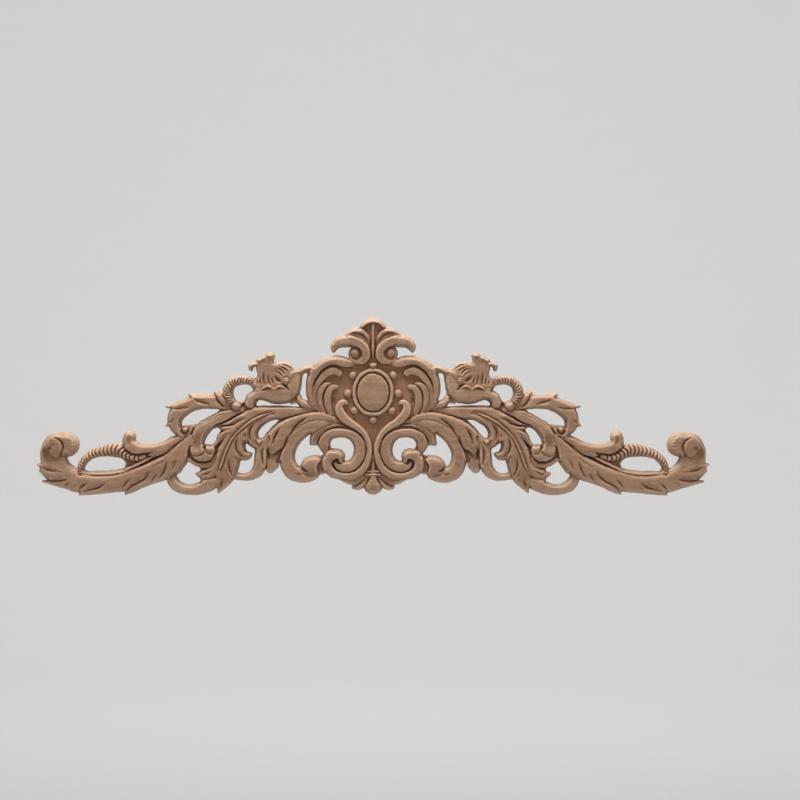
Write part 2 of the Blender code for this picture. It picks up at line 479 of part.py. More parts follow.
def second_leaf():
    """The long acanthus leaf across the middle of each side: midrib, curled lobes and pointed tips."""
    trunk = [
        Band([(79.8, -34, 3.2, 9.5), (83.2, -41, 4.3, 10.5), (83.8, -48, 4.5, 11), (84.5, -54, 4.7, 11),
              (87.6, -59.4, 4.4, 11), (92.5, -62.6, 3.1, 10.5), (99, -62.5, 3.0, 10),
              (105.5, -61.2, 3.2, 9)]),
        groove([(82, -41, 0.6, 1.5), (83, -45.4, 1.0, 3), (82.6, -50, 0.9, 3), (82, -54.4, 0.4, 1)]),
        Band([(46, -13.2, 1.6, 8.5), (56, -13.8, 3.2, 10), (66, -14.6, 4.8, 10.5), (76, -15.2, 5.5, 11.5),
              (86, -17.5, 7.4, 12), (95, -24, 8.7, 12.5), (102, -33, 9.5, 12.5), (107, -44, 9.4, 12.5),
              (110, -55, 8.6, 12), (112, -64.5, 6.7, 11), (114.6, -71.5, 2.6, 9.5), (115.8, -74.6, 0.6, 8)],
             8.0, pillow),
    ]
    left_lobes = [
        Band([(84.4, -20.6, 1.0, 11.5), (88.4, -25.4, 3.0, 12), (90.2, -31, 3.9, 12),
              (89.0, -36.2, 3.9, 11.5), (85.9, -39.2, 2.8, 10.5), (83.4, -38.9, 1.9, 10)], 8.0),
        groove([(88.6, -23.6, 0.4, 0.8), (91.8, -28, 0.8, 2.5), (92.2, -32.6, 0.8, 2.5),
                (91.4, -36, 0.4, 1)]),
        Dome(85.2, -36.6, 2.8, 2.8, 12.5, 7.5),
        Band([(103.8, -41, 2.6, 12), (102.2, -46.6, 2.9, 11.5), (97.4, -48.6, 2.3, 10.5),
              (91.4, -46.9, 1.0, 9)],
             8.0, mode="rise"),
        Band([(97.8, -32, 1.6, 12), (99.9, -38.5, 2.6, 12.5), (99, -43.4, 2.4, 12), (95.6, -46.0, 2.0, 11),
              (92.2, -45.9, 1.4, 9.5)], 8.0, mode="rise"),
        Band([(104.8, -48.6, 2.4, 11.5), (104, -54, 3.6, 11.5), (103.8, -59, 3.1, 10),
              (105, -63, 1.4, 8.5)],
             8.0, mode="rise"),
        groove([(95.3, -30.6, 0.4, 0.8), (95.6, -32.4, 0.8, 2.5), (95.4, -34, 0.4, 0.8)]),
        groove([(101.2, -34, 0.4, 1), (102.4, -38.6, 0.8, 2.5), (102, -42.8, 0.9, 3),
                (98.6, -47.1, 0.5, 1.5)]),
        groove([(103.8, -47, 0.4, 1), (101.4, -49.6, 0.8, 2)]),
        groove([(107.4, -49.6, 0.4, 1), (107.8, -54, 0.9, 2.5), (107, -58, 0.9, 2.5),
                (105.6, -61.4, 0.5, 1.5)]),
        groove([(109.6, -57.8, 0.4, 1), (109.4, -60, 0.6, 1.5), (108, -62.4, 0.4, 1)]),
    ]
    right_lobes = [
        Band([(93, -17.6, 1.0, 12.5), (99, -18.6, 2.0, 12.5), (104, -21.2, 2.2, 12.5),
              (108.6, -23.2, 1.8, 12), (113, -24.1, 1.1, 11),
              (117.6, -24.9, 0.4, 9)], 8.5, leaf_left, "rise"),
        Band([(98, -23, 1.5, 12.5), (103, -26, 2.6, 12.5), (109, -27.2, 2.4, 12),
              (114.2, -26.8, 1.4, 10.5)],
             8.5, leaf_left, "rise"),
        Band([(104, -29.5, 1.5, 12.5), (109.4, -31, 3.1, 12.5), (114, -33.6, 2.9, 11.5),
              (117, -37.4, 1.9, 10.5), (118.6, -40.4, 0.7, 9)], 8.5, leaf_left, "rise"),
        Band([(110, -42, 2.4, 12.5), (114.5, -49, 3.8, 12), (118.6, -56.4, 4.2, 11.5),
              (124, -60.8, 4.4, 11), (129, -61.3, 3.0, 10), (133, -60.7, 0.7, 8)], 8.0, mode="rise"),
        groove([(95.6, -19.2, 0.4, 1), (100, -21, 0.9, 2.5), (104.6, -23.9, 0.9, 3), (109, -24.9, 0.8, 2.5),
                (114, -24.7, 0.4, 1)]),
        groove([(99.6, -16.2, 0.5, 1), (105, -19.3, 0.8, 2.4), (111, -22.3, 0.8, 2.4),
                (118.4, -24.3, 0.6, 1.6)]),
        groove([(110.8, -28, 0.4, 1.5), (114.2, -28.7, 0.7, 3)]),
        groove([(110.6, -33.2, 0.4, 1), (113.2, -36.8, 0.9, 3), (116, -40.2, 0.9, 3),
                (118.2, -41.6, 0.5, 1)]),
        groove([(114.8, -42.8, 0.5, 1.5), (118, -43.4, 0.7, 2)]),
        groove([(117.8, -45.8, 0.6, 1.5), (118.4, -50, 0.9, 3), (120.8, -54.6, 0.9, 3),
                (125.4, -57.4, 0.7, 2.5)]),
        groove([(121.5, -58.6, 0.4, 1), (124.6, -60.4, 0.7, 2), (127.6, -61.4, 0.4, 1)]),
        groove([(123.8, -63.8, 0.4, 1), (126.8, -64.5, 0.6, 1.5)]),
    ]
    rib_right = [(76, -14.2), (86.8, -17.9), (91.7, -20.5), (96.7, -24), (101, -28), (104.6, -31.8),
                 (107.4, -35.8), (109.8, -40.2), (111.8, -45), (113.6, -50.3), (115.4, -55.9), (116.8, -60)]
    rib_left = [(74, -15.6), (80.3, -17.3), (85, -19.4), (89.9, -22.1), (94.8, -25.8), (100, -30),
                (103.3, -33.6), (106.2, -38.7), (108.5, -44.1), (110.6, -49.8), (112.5, -55), (114.6, -60)]
    rib = [((a + c) / 2, (b + d) / 2, 1.1, 13.2) for (a, b), (c, d) in zip(rib_left, rib_right)]
    cuts = [groove([(x, z, 0.65, 1.6) for x, z in side[:-1]] + [(*side[-1], 0.2, 0.2)])
            for side in (rib_right, rib_left)]
    rib[0] = (*rib[0][:2], 0.3, 11.4)
    rib[-1] = (*rib[-1][:2], 0.3, 11.0)
    tail_cuts = [
        groove([(113.1, -64.2, 0.4, 1), (113.3, -68, 0.8, 2), (114.4, -71.6, 0.4, 1)]),
        groove([(116.8, -66.6, 0.4, 1), (118, -70.2, 0.7, 1.5)]),
    ]
    return trunk + left_lobes + right_lobes + [Band(rib, 11.0, mode="rise")] + cuts + tail_cuts


def lower_hook():
    """The U that swings up under the arm from the foot of the long leaf."""
    return [
        Plate([(116, -62), (124, -62.5), (129.6, -64.4), (128, -68), (119, -70)], 10.0, 7.5, 3.0, "rise"),
        Band([(114, -65, 1.5, 10.5), (119, -67.6, 4.0, 11), (124.5, -69.5, 4.9, 11.5),
              (130.5, -71.5, 4.7, 11.5), (137, -72.1, 4.3, 11.5), (143, -71.1, 4.4, 11.5),
              (148, -68.2, 4.6, 11), (150.6, -63, 4.0, 9.5), (150.8, -57, 3.0, 8)], 8.0, mode="rise"),
    ]


def stem_curl():
    """The stem that crosses from the rope and rolls up over the long leaf."""
    return [
        Band([(118.6, -48, 2.0, 8.5), (121.6, -53.2, 2.6, 9.5), (127, -54.2, 2.5, 9.5),
              (132.5, -53.2, 2.2, 9.5), (137.8, -50, 1.8, 9)], 6.5),
        Band([(98, -13.6, 1.8, 8.5), (105.4, -15.6, 2.9, 10), (112.8, -18.1, 4.4, 11),
              (120.1, -21.3, 4.2, 11.5), (126.6, -26.2, 5.4, 12), (130.8, -33, 5.1, 12),
              (132, -39.6, 5.6, 12), (129.8, -45.2, 6.0, 12), (124.6, -46.6, 5.0, 12),
              (121.6, -43.6, 3.9, 12)], 8.0),
        Dome(131.6, -38.0, 5.2, 8.0, 2.2, 0.0, 8, hollow, "sink"),
        Dome(121.9, -42.4, 4.0, 4.4, 12.4, 10.0),
        pit(126.3, -40.9, 1.3, 1.5, 3.5),
        groove([(126.0, -41.6, 0.6, 1.5), (125.8, -43.6, 0.7, 1.8), (127.6, -46.0, 0.7, 1.6),
                (131.0, -47.5, 0.7, 1.4), (134.6, -46.9, 0.6, 1.2), (137, -44.4, 0.3, 0.5)]),
        groove([(120.4, -50.0, 0.5, 1.5), (124.5, -51.7, 0.9, 2.5), (129, -52.1, 0.8, 2),
                (134, -51.3, 0.4, 0.8)]),
        groove([(135, -39.8, 0.4, 1), (137.2, -40.9, 0.8, 2.5), (138.4, -44, 0.8, 2.5),
                (137.9, -48.4, 0.5, 1.2)]),
        groove([(112, -15.8, 0.4, 1), (119.5, -19.0, 0.7, 1.6), (126.4, -22.8, 0.7, 1.6),
                (134, -28.0, 0.5, 1)]),
    ]


def arched_leaf():
    """The leaf that arches over to the right of the rope and hooks back round a bead."""
    return [
        Band([(108, -11.5, 2.4, 8.5), (115, -7.8, 5.0, 10.5), (122, -7, 5.5, 11.5), (130, -7.0, 5.7, 12),
              (138, -9.6, 5.7, 12), (144.8, -13.5, 6.4, 12), (148.5, -20, 5.5, 12),
              (147.3, -26.6, 4.4, 11.5), (143, -30.6, 2.7, 11), (138.4, -30.4, 1.8, 10.5),
              (135.8, -27.4, 1.4, 10)], 8.0, pillow),
        Band([(112.6, -8, 1.2, 10.5), (115.6, -3, 2.3, 10.5), (117.4, -0.4, 1.9, 10)], 8.0, mode="rise"),
        Band([(124, -6, 1.6, 11.5), (131, -3.5, 2.3, 11), (137.5, -1.6, 1.0, 10)], 8.0, leaf_left, "rise"),
        Band([(140, -8, 2.0, 11.5), (148, -9.9, 2.6, 11), (154.6, -10.5, 0.9, 10)], 8.0, leaf_left, "rise"),
        Band([(148, -19.6, 1.6, 11.5), (151.8, -22.8, 2.2, 10.5), (155.2, -25, 0.7, 9)], 8.0, mode="rise"),
        groove([(122, -9.4, 0.4, 1), (127, -7.6, 0.9, 2.5), (132.4, -5.8, 0.7, 1.5)]),
        groove([(138.2, -11.2, 0.4, 1), (143, -11.9, 0.8, 2), (152, -12, 0.5, 1)]),
        groove([(149.1, -19.8, 0.4, 1), (151.3, -22.2, 0.7, 2), (153.5, -24.3, 0.4, 1)]),
        groove([(111.6, -10.8, 0.5, 1.5), (115, -7.8, 0.9, 3), (117.2, -4.2, 0.8, 2.5),
                (118.4, -1, 0.5, 1)]),
        Dome(140.6, -28.8, 3.6, 3.2, 7.5, 7.5),
        Dome(140.6, -27.3, 2.7, 2.7, 12, 7.5),
    ]


def arm():
    """The long leafy arm with its upper edge, knob and rolled-under tips."""
    spine = [(136.5, -33.5, 2.6, 10.5), (142, -41, 5, 11.5), (147.4, -49, 8.4, 12),
             (155.6, -55.4, 9.1, 12.5), (169, -61.2, 8.0, 12.5), (180, -65.3, 8, 12.5),
             (190, -67.3, 6.9, 12.5), (200, -68.4, 6.7, 12.5), (211, -68.8, 7.4, 12.5),
             (221, -66.9, 7.6, 12.5), (231, -62.3, 8.2, 12), (237.6, -55.5, 9, 11), (239.6, -48, 9, 10),
             (239.4, -42, 8.6, 9.5)]
    fillet = [(161, -46.0, 0.4, 10), (168, -49.6, 1.2, 11), (176, -53.6, 1.6, 11), (183, -56.8, 1.7, 11),
              (190, -58.8, 1.7, 11), (198, -60, 1.7, 11), (206, -60.2, 1.7, 11), (213, -59.6, 1.6, 11),
              (219, -58.6, 1.6, 11), (224.4, -56.8, 1.5, 11), (229, -53.2, 1.5, 11),
              (231, -48.6, 1.4, 10.5)]
    tips = [
        [(140.6, -48, 1.6, 11), (143.6, -55, 3.0, 10.5), (147.6, -60.4, 2.2, 9)],
        [(163, -59, 1, 12), (174, -66.6, 4.2, 12), (181, -72.2, 2.8, 10.5), (185.3, -75.4, 0.8, 8.5)],
        [(186, -65, 1, 12), (202, -71.0, 4.2, 12), (212, -73.8, 2.6, 10.5), (219.5, -75.9, 0.8, 8.5)],
        [(211, -65, 1, 12), (227, -68.0, 4.0, 12), (239, -67, 2.4, 10.5), (247, -66.2, 0.8, 9)],
        [(230, -62, 1, 12), (242, -60.6, 4.6, 11.5), (247.8, -58, 2.2, 10)],
        [(232, -58, 1, 12), (243, -56.2, 3.6, 11), (250.6, -53.6, 1.0, 9.5)],
    ]
    veins = [
        [(147.0, -50.4, 0.3, 0.6), (148.6, -54, 0.7, 1.6), (150.0, -58, 0.3, 0.6)],
        [(154.0, -52, 0.4, 1), (155.4, -57.4, 0.9, 2.5), (157.8, -61.6, 0.9, 2.2), (159.6, -63.6, 0.5, 1)],
        [(161.8, -61, 0.4, 1), (164, -64.4, 0.8, 2), (166.8, -68, 0.5, 1)],
        [(167.4, -59.0, 0.4, 1), (170, -63.6, 0.9, 2.5), (175.6, -67.4, 1.0, 2.8), (181, -70.2, 0.9, 2.5),
         (185.2, -74.2, 0.5, 1)],
        [(182.2, -65, 0.4, 1), (184.4, -67.6, 0.8, 2), (186.8, -71.0, 0.4, 1)],
        [(195, -71, 0.4, 1), (200, -74.4, 0.7, 1.5)],
        [(200.6, -67.6, 0.4, 1), (204.6, -70.6, 1.0, 2.8), (209.6, -72.2, 1.0, 2.6),
         (215.5, -73.4, 0.5, 1)],
        [(214.2, -67.8, 0.4, 1), (217, -69.8, 0.8, 2.2), (219.6, -72.8, 0.5, 1)],
        [(226, -67.6, 0.4, 1), (231.4, -70.2, 0.7, 2)],
        [(228.6, -64.6, 0.4, 1), (232, -65.6, 0.9, 2.6), (237, -65.8, 1.0, 2.6), (244, -65.4, 0.5, 1)],
        [(236.4, -58.9, 0.4, 1), (241, -58.2, 0.9, 2.4), (246.8, -55.9, 0.5, 1)],
        [(240.4, -62.9, 0.3, 0.6), (243.6, -62.4, 0.6, 1.4), (246, -60.8, 0.3, 0.6)],
        [(151.4, -45.6, 0.3, 0.6), (157, -51.4, 0.5, 1.0), (164, -55.4, 0.3, 0.6)],
    ]
    crease = [(141.6, -34.6, 0.4, 1), (146.0, -36.6, 0.8, 1.8), (150.4, -41.2, 1.0, 2.4),
              (155, -45.4, 1.0, 2.4), (161, -48.2, 1.0, 2.4), (166, -50.8, 0.6, 1.4)]
    return [
        Band(spine, 8.0),
        *(Band(stations, 7.5, mode="rise") for stations in tips),
        *(groove(stations) for stations in veins),
        Band([(143, -33.6, 1.6, 10.5), (149, -37.4, 2.6, 11.5), (154, -41.4, 3.4, 12),
              (160, -44.2, 3.2, 12), (165, -46.0, 2.4, 11.5), (167.4, -46.6, 1.2, 10.5)], 8.0, mode="rise"),
        groove(crease),
        Band([(141.5, -33.4, 1.6, 10), (148, -35.4, 3.2, 11), (155, -39.2, 3.6, 11.5),
              (162, -41.2, 3.6, 12), (170, -41.8, 3.6, 12), (178, -41.2, 4.8, 12),
              (182.8, -37.4, 4.8, 12), (182.3, -33, 4.6, 12)],
             8.0, mode="rise"),
        pit(182.6, -36.6, 3.0, 4.6, 1.8, 10),
        Band([(173.6, -51.6, 1.4, 6.5), (178, -52.8, 2.2, 6.5), (183.5, -53.6, 2.6, 6.5)], 6.0),
        Band(fillet, 7.5),
    ]


def end_volute():
    """The rolled end of the arm: a big lobe with faint flutes, a small one, its eye and a cove."""
    flutes = [(222.2, -36.0, 228.4), (221.2, -38.4, 227.4), (221.4, -40.8, 227.6), (222.6, -43.2, 228.6)]
    return [
        Band([(243.4, -57, 3.4, 9), (245.6, -50, 3.4, 9.5), (245.7, -44, 3.4, 10.5),
              (243.4, -39.8, 4.4, 12.5), (239.4, -35.8, 5.2, 13.4),
              (233.4, -35.4, 5.5, 13.6)], 8.0, mode="rise"),
        Dome(229.6, -38.9, 9.2, 9.2, 13.8, 8.0, section=pillow, mode="rise"),
        *(groove([(x, z, 0.3, 0.4), ((x + end) / 2, z + 0.3, 0.6, 0.8), (end, z, 0.3, 0.4)])
          for x, z, end in flutes),
        Dome(236.6, -41.0, 5.8, 7.8, 13.4, 11.2, 14, mode="rise"),
        groove([(239.5, -33.0, 0.4, 0.6), (234.6, -34.8, 0.8, 2.5), (231.8, -38, 1.0, 3.0),
                (231.5, -42, 1.0, 3.0), (233.4, -46.6, 0.7, 2)]),
        Band([(245.6, -43.8, 4.0, 2.8), (245.4, -48, 4.4, 1.8), (243.8, -53, 4.2, 0.8),
              (242, -57, 3, 0.2)], 0.0, hollow, "sink"),
        pit(241.4, -41.8, 1.6, 1.8, 2.0, 30),
    ]


def openings():
    """Where the background is sawn away."""
    return [
        opening([(25, -33.6), (20, -34.2), (17, -36.2), (15.2, -39.2), (14.6, -43.2), (15.6, -47.2),
                 (18, -50.2), (21.3, -50.6), (20.9, -47), (22.6, -43.8), (26.5, -41.9), (31.3, -41.4),
                 (32.1, -38.4), (30.7, -35.4)]),
        opening([(46.8, -31.0), (50, -33.2), (54, -37), (57, -41.6), (58.7, -47.6), (57.8, -52),
                 (55.2, -54.9), (54.2, -52.9), (52.9, -50.7), (50.9, -48.8), (48.4, -47.5), (45.4, -46.8),
                 (42.2, -46.7), (39.6, -47.1), (37.3, -46.2),
                 (39.6, -42.8), (41.4, -39.7), (47.3, -39.3), (47.5, -35)]),
        opening([(70.3, -20.5), (75, -20.7), (80, -23.2), (84.2, -26.6), (86.1, -30.6), (85.4, -33.7),
                 (83.2, -33.7), (80.2, -30.6), (76, -25.8)]),
        opening([(95.3, -37.7), (92, -40), (88.7, -42.4), (88.9, -47), (89.8, -54), (92, -58.2),
                 (95.4, -60.2), (101.3, -59.4), (100.2, -54.6), (99.2, -51), (94.6, -50.6), (91.4, -48),
                 (90.6, -45.2), (94.2, -43.9), (95.7, -41)]),
        opening([(116.5, -26.3), (114.2, -28), (116.6, -31.8), (118, -36.1), (119.7, -38.3), (124, -38.6),
                 (126.3, -38.3), (125.6, -34.6), (122.8, -30.4), (119.6, -27.4)]),
        opening([(138.3, -51.2), (133.2, -54.6), (129.2, -57.0), (131.2, -58.5), (133.2, -60.3),
                 (131.6, -62.3), (129.5, -64.4), (131.0, -66.3), (133.4, -67.9), (137, -68.4),
                 (142, -67.6), (145.8, -64.8), (147.4, -61.4), (145, -60.2), (142, -56.2)]),
        opening([(114.4, -12.9), (120, -12.4), (127, -12.4), (134, -14.0), (139.6, -17.4), (142.8, -21),
                 (143, -24.6), (139.4, -24.2), (135.2, -24.3), (127, -20.2), (120, -16.4)]),
        opening([(91.3, 4.7), (95, 5.6), (100.4, 5.3), (103.6, 3.6), (104.4, 1.2), (102.6, -2.2),
                 (99.4, -5.4), (97.2, -6.7), (95.2, -3.2), (93, 1.2)]),
        opening([(50, 14.3), (52.4, 11.4), (53.7, 6), (54, 0), (53, -4.2), (49, -6.2), (50.2, -1.6),
                 (50.8, 3.6), (50.3, 9)]),
        opening([(60.2, -9.6), (63.0, -8.3), (68.6, -8.9), (73, -9.4), (66, -9.9)]),
        opening([(75.6, -8.7), (79.7, -6.9), (83.6, -5.9), (86.6, -6.7), (87.1, -8.8), (81, -8.9)]),
        opening([(185.3, -52.5), (187, -50.4), (192, -48.7), (199, -47.8), (206, -48.4), (211.6, -50.4),
                 (215, -54), (215.8, -57.7), (208, -58.5), (199.9, -58.3), (192, -57.4), (186, -55.6)]),
    ]


def webs():
    """The board left between the forms, where it is neither carved high nor sawn away."""
    return [
        Plate([(18, -24), (34, -15), (46, -12.6), (60, -12), (84, -12), (96, -12.5), (108, -13.5),
               (122, -19), (134, -27), (143, -42), (142, -50), (129.4, -56.6), (129.4, -58), (121, -64),
               (112, -72), (106, -62.5), (96, -63), (86, -61), (80, -57), (72, -51), (62, -61), (50, -64),
               (37, -54), (30, -60), (14, -62), (8, -48)], 7.0, 6.5),
        Plate([(46, 17), (56, 17), (62, 12), (74, 6), (88, 3), (86, 0), (60, 0), (54, 6),
               (52, 14)], 7.0, 6.5),
        Plate([(88, 10), (92, 8), (90, 3), (86, 3)], 7.0, 6.5),
        Plate([(96, -5), (103, -10), (112, -9), (116, -13), (96, -14), (90, -11)], 7.0, 6.5),
        Plate([(107, -11), (110.4, -3), (113.4, -0.2), (117, -3), (115, -10)], 8.0, 7.0, 2.0),
        Plate([(129, -24), (134, -23.8), (139, -24.6), (141, -29), (136, -32), (131, -29)], 8.0, 7.0, 2.0),
        Plate([(134, -26), (143, -33), (156, -44), (170, -45), (186, -44), (186, -57), (172, -57),
               (150, -50), (138, -44)], 7.0, 6.5),
        Plate([(86.6, -13), (86.9, -9.8), (89.4, -9.4), (92, -12)], 7.0, 6.5),
    ]


def all_forms():
    """All forms in the order in which they lie over each other, the sawn openings last."""
    parts = (webs, shield, finial, side_scrolls, top_scroll, stalk, first_leaf, second_leaf, lower_hook,
             stem_curl, heart_scroll, shell, arched_leaf, upper_rope, flower, arm, lower_rope, end_volute,
             openings)
    return [form for part in parts for form in part()]


def drawn(forms, step, low=(0, -80), high=(HALF_DRAWN + 4, 58)):
    """The relief on a grid whose cells are cut along the outline: x, z, what is solid, thickness,
    the places of the corners, the triangles between them and the outline's pieces."""
    x = np.arange(low[0], high[0], step)
    z = np.arange(low[1], high[1], step)
    points = np.array(np.meshgrid(x, z, indexing="ij")).reshape(2, -1).T
    inside, thick = relief(points, forms)
    level = inside.reshape(len(x), len(z))
    solid = level > 0
    number = np.full(level.shape, -1)
    number[solid] = np.arange(solid.sum())
    places = list(points[solid.ravel()])
    crossings = {}

    def crossing(a, b):
        if (a, b) not in crossings:
            share = np.clip(level[a] / (level[a] - level[b]), 0.1, 0.9)
            crossings[a, b] = len(places)
            places.append(np.array([x[a[0]], z[a[1]]]) * (1 - share) + np.array([x[b[0]], z[b[1]]]) * share)
        return crossings[a, b]

    corners = [solid[:-1, :-1], solid[1:, :-1], solid[1:, 1:], solid[:-1, 1:]]
    count = sum(c.astype(int) for c in corners)
    i, j = np.nonzero(count == 4)
    quads = np.c_[number[i, j], number[i + 1, j], number[i + 1, j + 1], number[i, j + 1]]
    front = [quads[:, [0, 1, 2]], quads[:, [0, 2, 3]]]
    rim = []
    for i, j in zip(*np.nonzero((count > 0) & (count < 4))):
        cell = [(i, j), (i + 1, j), (i + 1, j + 1), (i, j + 1)]
        loop = []
        for here, after in zip(cell, cell[1:] + cell[:1]):
            if solid[here]:
                loop.append((number[here], False))
            if solid[here] != solid[after]:
                loop.append((crossing(*((here, after) if solid[here] else (after, here))), True))
        front += [np.array([[loop[0][0], a[0], b[0]]]) for a, b in zip(loop[1:], loop[2:])]
        rim += [(a[0], b[0]) for a, b in zip(loop, loop[1:] + loop[:1]) if a[1] and b[1]]
    places, rim = np.array(places), np.array(rim)
    thick = surface(x, z, solid, thick.reshape(level.shape), places[rim])
    return x, z, solid, thick, places, np.vstack(front), rim


def half_solid(solid, thick, places, front, rim):
    """The right half, a shell open on the middle plane only: points (x, thickness, z) and triangles."""
    n = len(places)
    height = np.r_[thick[solid], np.full(n - solid.sum(), RIM)]
    x, z = places.T
    verts = np.vstack([np.c_[x, height, z], np.c_[x, 0 * height, z]])
    a, b = rim.T
    walls = np.vstack([np.c_[b, a, a + n], np.c_[b, a + n, b + n]])
    return verts, np.vstack([front, walls, front[:, ::-1] + n])


def thin_out(verts, faces, keep):
    """Collapse the mesh to about the number of triangles given."""
    mesh = bpy.data.meshes.new("half")
    mesh.from_pydata(verts.tolist(), [], faces.tolist())
    half = bpy.data.objects.new("half", mesh)
    bpy.context.scene.collection.objects.link(half)
    fewer = half.modifiers.new("fewer", "DECIMATE")
    fewer.ratio = keep / len(faces)
    result = half.evaluated_get(bpy.context.evaluated_depsgraph_get()).to_mesh()
    verts = np.array([v.co for v in result.vertices])
    faces = np.array([t.vertices for t in result.loop_triangles])
    bpy.data.objects.remove(half)
    return verts, faces


def whole(verts, faces):
    """Put the middle edge exactly on the middle plane and add the mirrored half."""
    sides = np.vstack([faces[:, [0, 1]], faces[:, [1, 2]], faces[:, [2, 0]]])
    _, first, times = np.unique(np.sort(sides, axis=1), axis=0, return_index=True, return_counts=True)
    middle = np.zeros(len(verts), bool)
    middle[sides[first[times == 1]]] = True
    verts[middle, 0] = 0
    twin = np.where(middle, np.arange(len(verts)), len(verts) + np.cumsum(~middle) - 1)
    mirrored = verts[~middle] * [-1, 1, 1]
    return np.vstack([verts, mirrored]), np.vstack([faces, twin[faces][:, ::-1]])


def main():
    for thing in list(bpy.data.objects):
        bpy.data.objects.remove(thing)
    verts, faces = half_solid(*drawn(all_forms(), GRID)[2:])
    verts, faces = thin_out(verts, faces, FACES_HALF)
    verts, faces = whole(verts, faces)
    across = LENGTH / 2 / verts[:, 0].max()
    verts = verts * [across, -MM, MM]
    mesh = bpy.data.meshes.new("carved_applique")
    mesh.from_pydata(verts.tolist(), [], faces.tolist())
    applique = bpy.data.objects.new("carved_applique", mesh)
    bpy.context.scene.collection.objects.link(applique)
    wood = bpy.data.materials.new("carved_wood")
    wood.use_nodes = True
    shader = wood.node_tree.nodes["Principled BSDF"]
    shader.inputs["Base Color"].default_value = WOOD_COLOUR
    shader.inputs["Roughness"].default_value = WOOD_ROUGHNESS
    mesh.materials.append(wood)


if __name__ == "__main__":
    main()
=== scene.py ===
"""Looks of the carved wood applique: a finer carving of the same form, its wood, the light and the camera.

The carving is a thickness over the flat back. It is drawn in millimetres for the right half,
x along the ornament and z up it, and mirrored. Later forms lie over earlier ones.
"""

import bpy
import numpy as np
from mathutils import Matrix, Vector

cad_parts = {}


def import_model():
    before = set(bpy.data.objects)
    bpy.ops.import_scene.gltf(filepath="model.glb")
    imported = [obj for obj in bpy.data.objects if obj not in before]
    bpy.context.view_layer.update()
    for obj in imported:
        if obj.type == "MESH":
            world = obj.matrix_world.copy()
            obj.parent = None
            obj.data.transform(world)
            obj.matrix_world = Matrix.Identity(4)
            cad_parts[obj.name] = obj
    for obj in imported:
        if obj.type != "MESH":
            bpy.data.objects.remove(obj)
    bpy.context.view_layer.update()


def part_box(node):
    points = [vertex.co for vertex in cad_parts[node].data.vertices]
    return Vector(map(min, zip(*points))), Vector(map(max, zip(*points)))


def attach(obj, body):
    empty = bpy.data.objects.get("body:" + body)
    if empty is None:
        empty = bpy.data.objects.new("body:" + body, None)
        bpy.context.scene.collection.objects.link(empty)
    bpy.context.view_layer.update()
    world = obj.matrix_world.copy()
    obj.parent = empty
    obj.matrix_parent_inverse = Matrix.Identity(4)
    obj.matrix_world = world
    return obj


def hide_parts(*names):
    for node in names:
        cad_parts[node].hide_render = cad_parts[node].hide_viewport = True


DRAWN_LOW, DRAWN_HIGH = (0, -80), (254, 58)  # mm, corners of the drawing
MM = 0.001  # m
DEEPEST = 14.0  # mm, back to the highest crest
THINNEST = 4.0  # mm, floor of the deepest cut
RIM = 6.5  # mm, thickness of the bare edge all round
EDGE_SLOPE = 2.2  # how fast the carving may rise from the edge
EDGE_SOFT = 0.8  # mm, how softly that slope meets the carving
EDGE_REACH = 4.5  # mm from the outline within which that slope can matter
CUTTER = 0.22  # mm, how far the cutter rounds creases and crests
GRID = 0.42  # mm between the points where the relief is taken
FACES_HALF = 94000  # triangles kept in one half
SAMPLE = 0.5  # mm between the points that a curve is drawn with
STRETCH = 12  # pieces of a curve that are searched together
AROUND = 1.5  # mm outside a form where its height is still known
FAR_OUT = -9.0  # mm, taken as inside depth where no form is near
LEAST_HALF = 0.05  # mm, half width of a band that runs out to nothing
CORNER = 0.1  # least share of a cell's side that the outline leaves
BLEND = 0.7  # mm over which one form rises out of another
GOUGE = 0.75  # share of a drawn cut's depth that is kept
SHALLOWER = 1.1  # mm that the foot of a band is raised, as the finer carving needs
CAP = 1.1  # radius of a rounded section over its half width
PILLOW, VEE, SCOOP = 2.8, 1.2, 1.4  # powers that shape the sections
RIDGE, LIP = 0.45, 0.45  # a leaf's ridge from its middle, height of its low side
NOTCH_REACH = 0.85  # share of a band's width that a notch crosses
BELL = 3  # widths of a blur that are summed
LEAST_SHARE, NO_LENGTH = 1e-3, 1e-12  # keep a division away from nothing
FIELD = 0.5968  # m across the picture at the carving
CAMERA_AWAY = 1.9  # m
CAMERA_X, CAMERA_Z = 0.0200, -0.0057  # m, what the middle of the picture looks at
FAR_CLIP = 50  # m
FLOOR = -0.6  # m
STUDIO, STUDIO_TOP, BEND = 6.0, 5.0, 2.5  # m, radius and height of the studio's wall, radius of its curve
FLOOR_RING = 1.5  # m, radius of the floor's first ring
ROUND_STEPS, BEND_STEPS = 96, 16
FLOOR_PAINT, FLOOR_ROUGH = (0.74, 0.735, 0.725, 1), 0.9
SKY = 0.66  # light from all round
LAMPS = (  # name, place and aim in m, size in m, power in W, colour
    ("above", (-0.09, -0.20, 0.80), (0, 0, 0), 0.45, 14.5, (1.0, 0.985, 0.965)),
    ("front", (0.5, -3.2, 0.7), (0, 0, 0), 2.4, 29.0, (1.0, 0.99, 0.98)),
    ("wall", (0, 2.0, 2.2), (0, 6.0, 1.2), 2.0, 46.0, (1.0, 1.0, 1.0)),
)
FINE_MARKS, BROAD_MARKS = (2.6, 5, 0.10), (7.0, 6, 0.14)  # mm apart, seed, mm high: marks of the tools
EDGE_X_MARKS, EDGE_Z_MARKS = (2.4, 7, 0.20), (2.4, 8, 0.20)  # the same for the outline
MARKED_LOW, MARKED_SIZE = (-260.0, -100.0), (520, 180)  # mm, corner and size of the marked area
TROUGH_LEAST = 6.5  # mm, shortest cut that has a trough
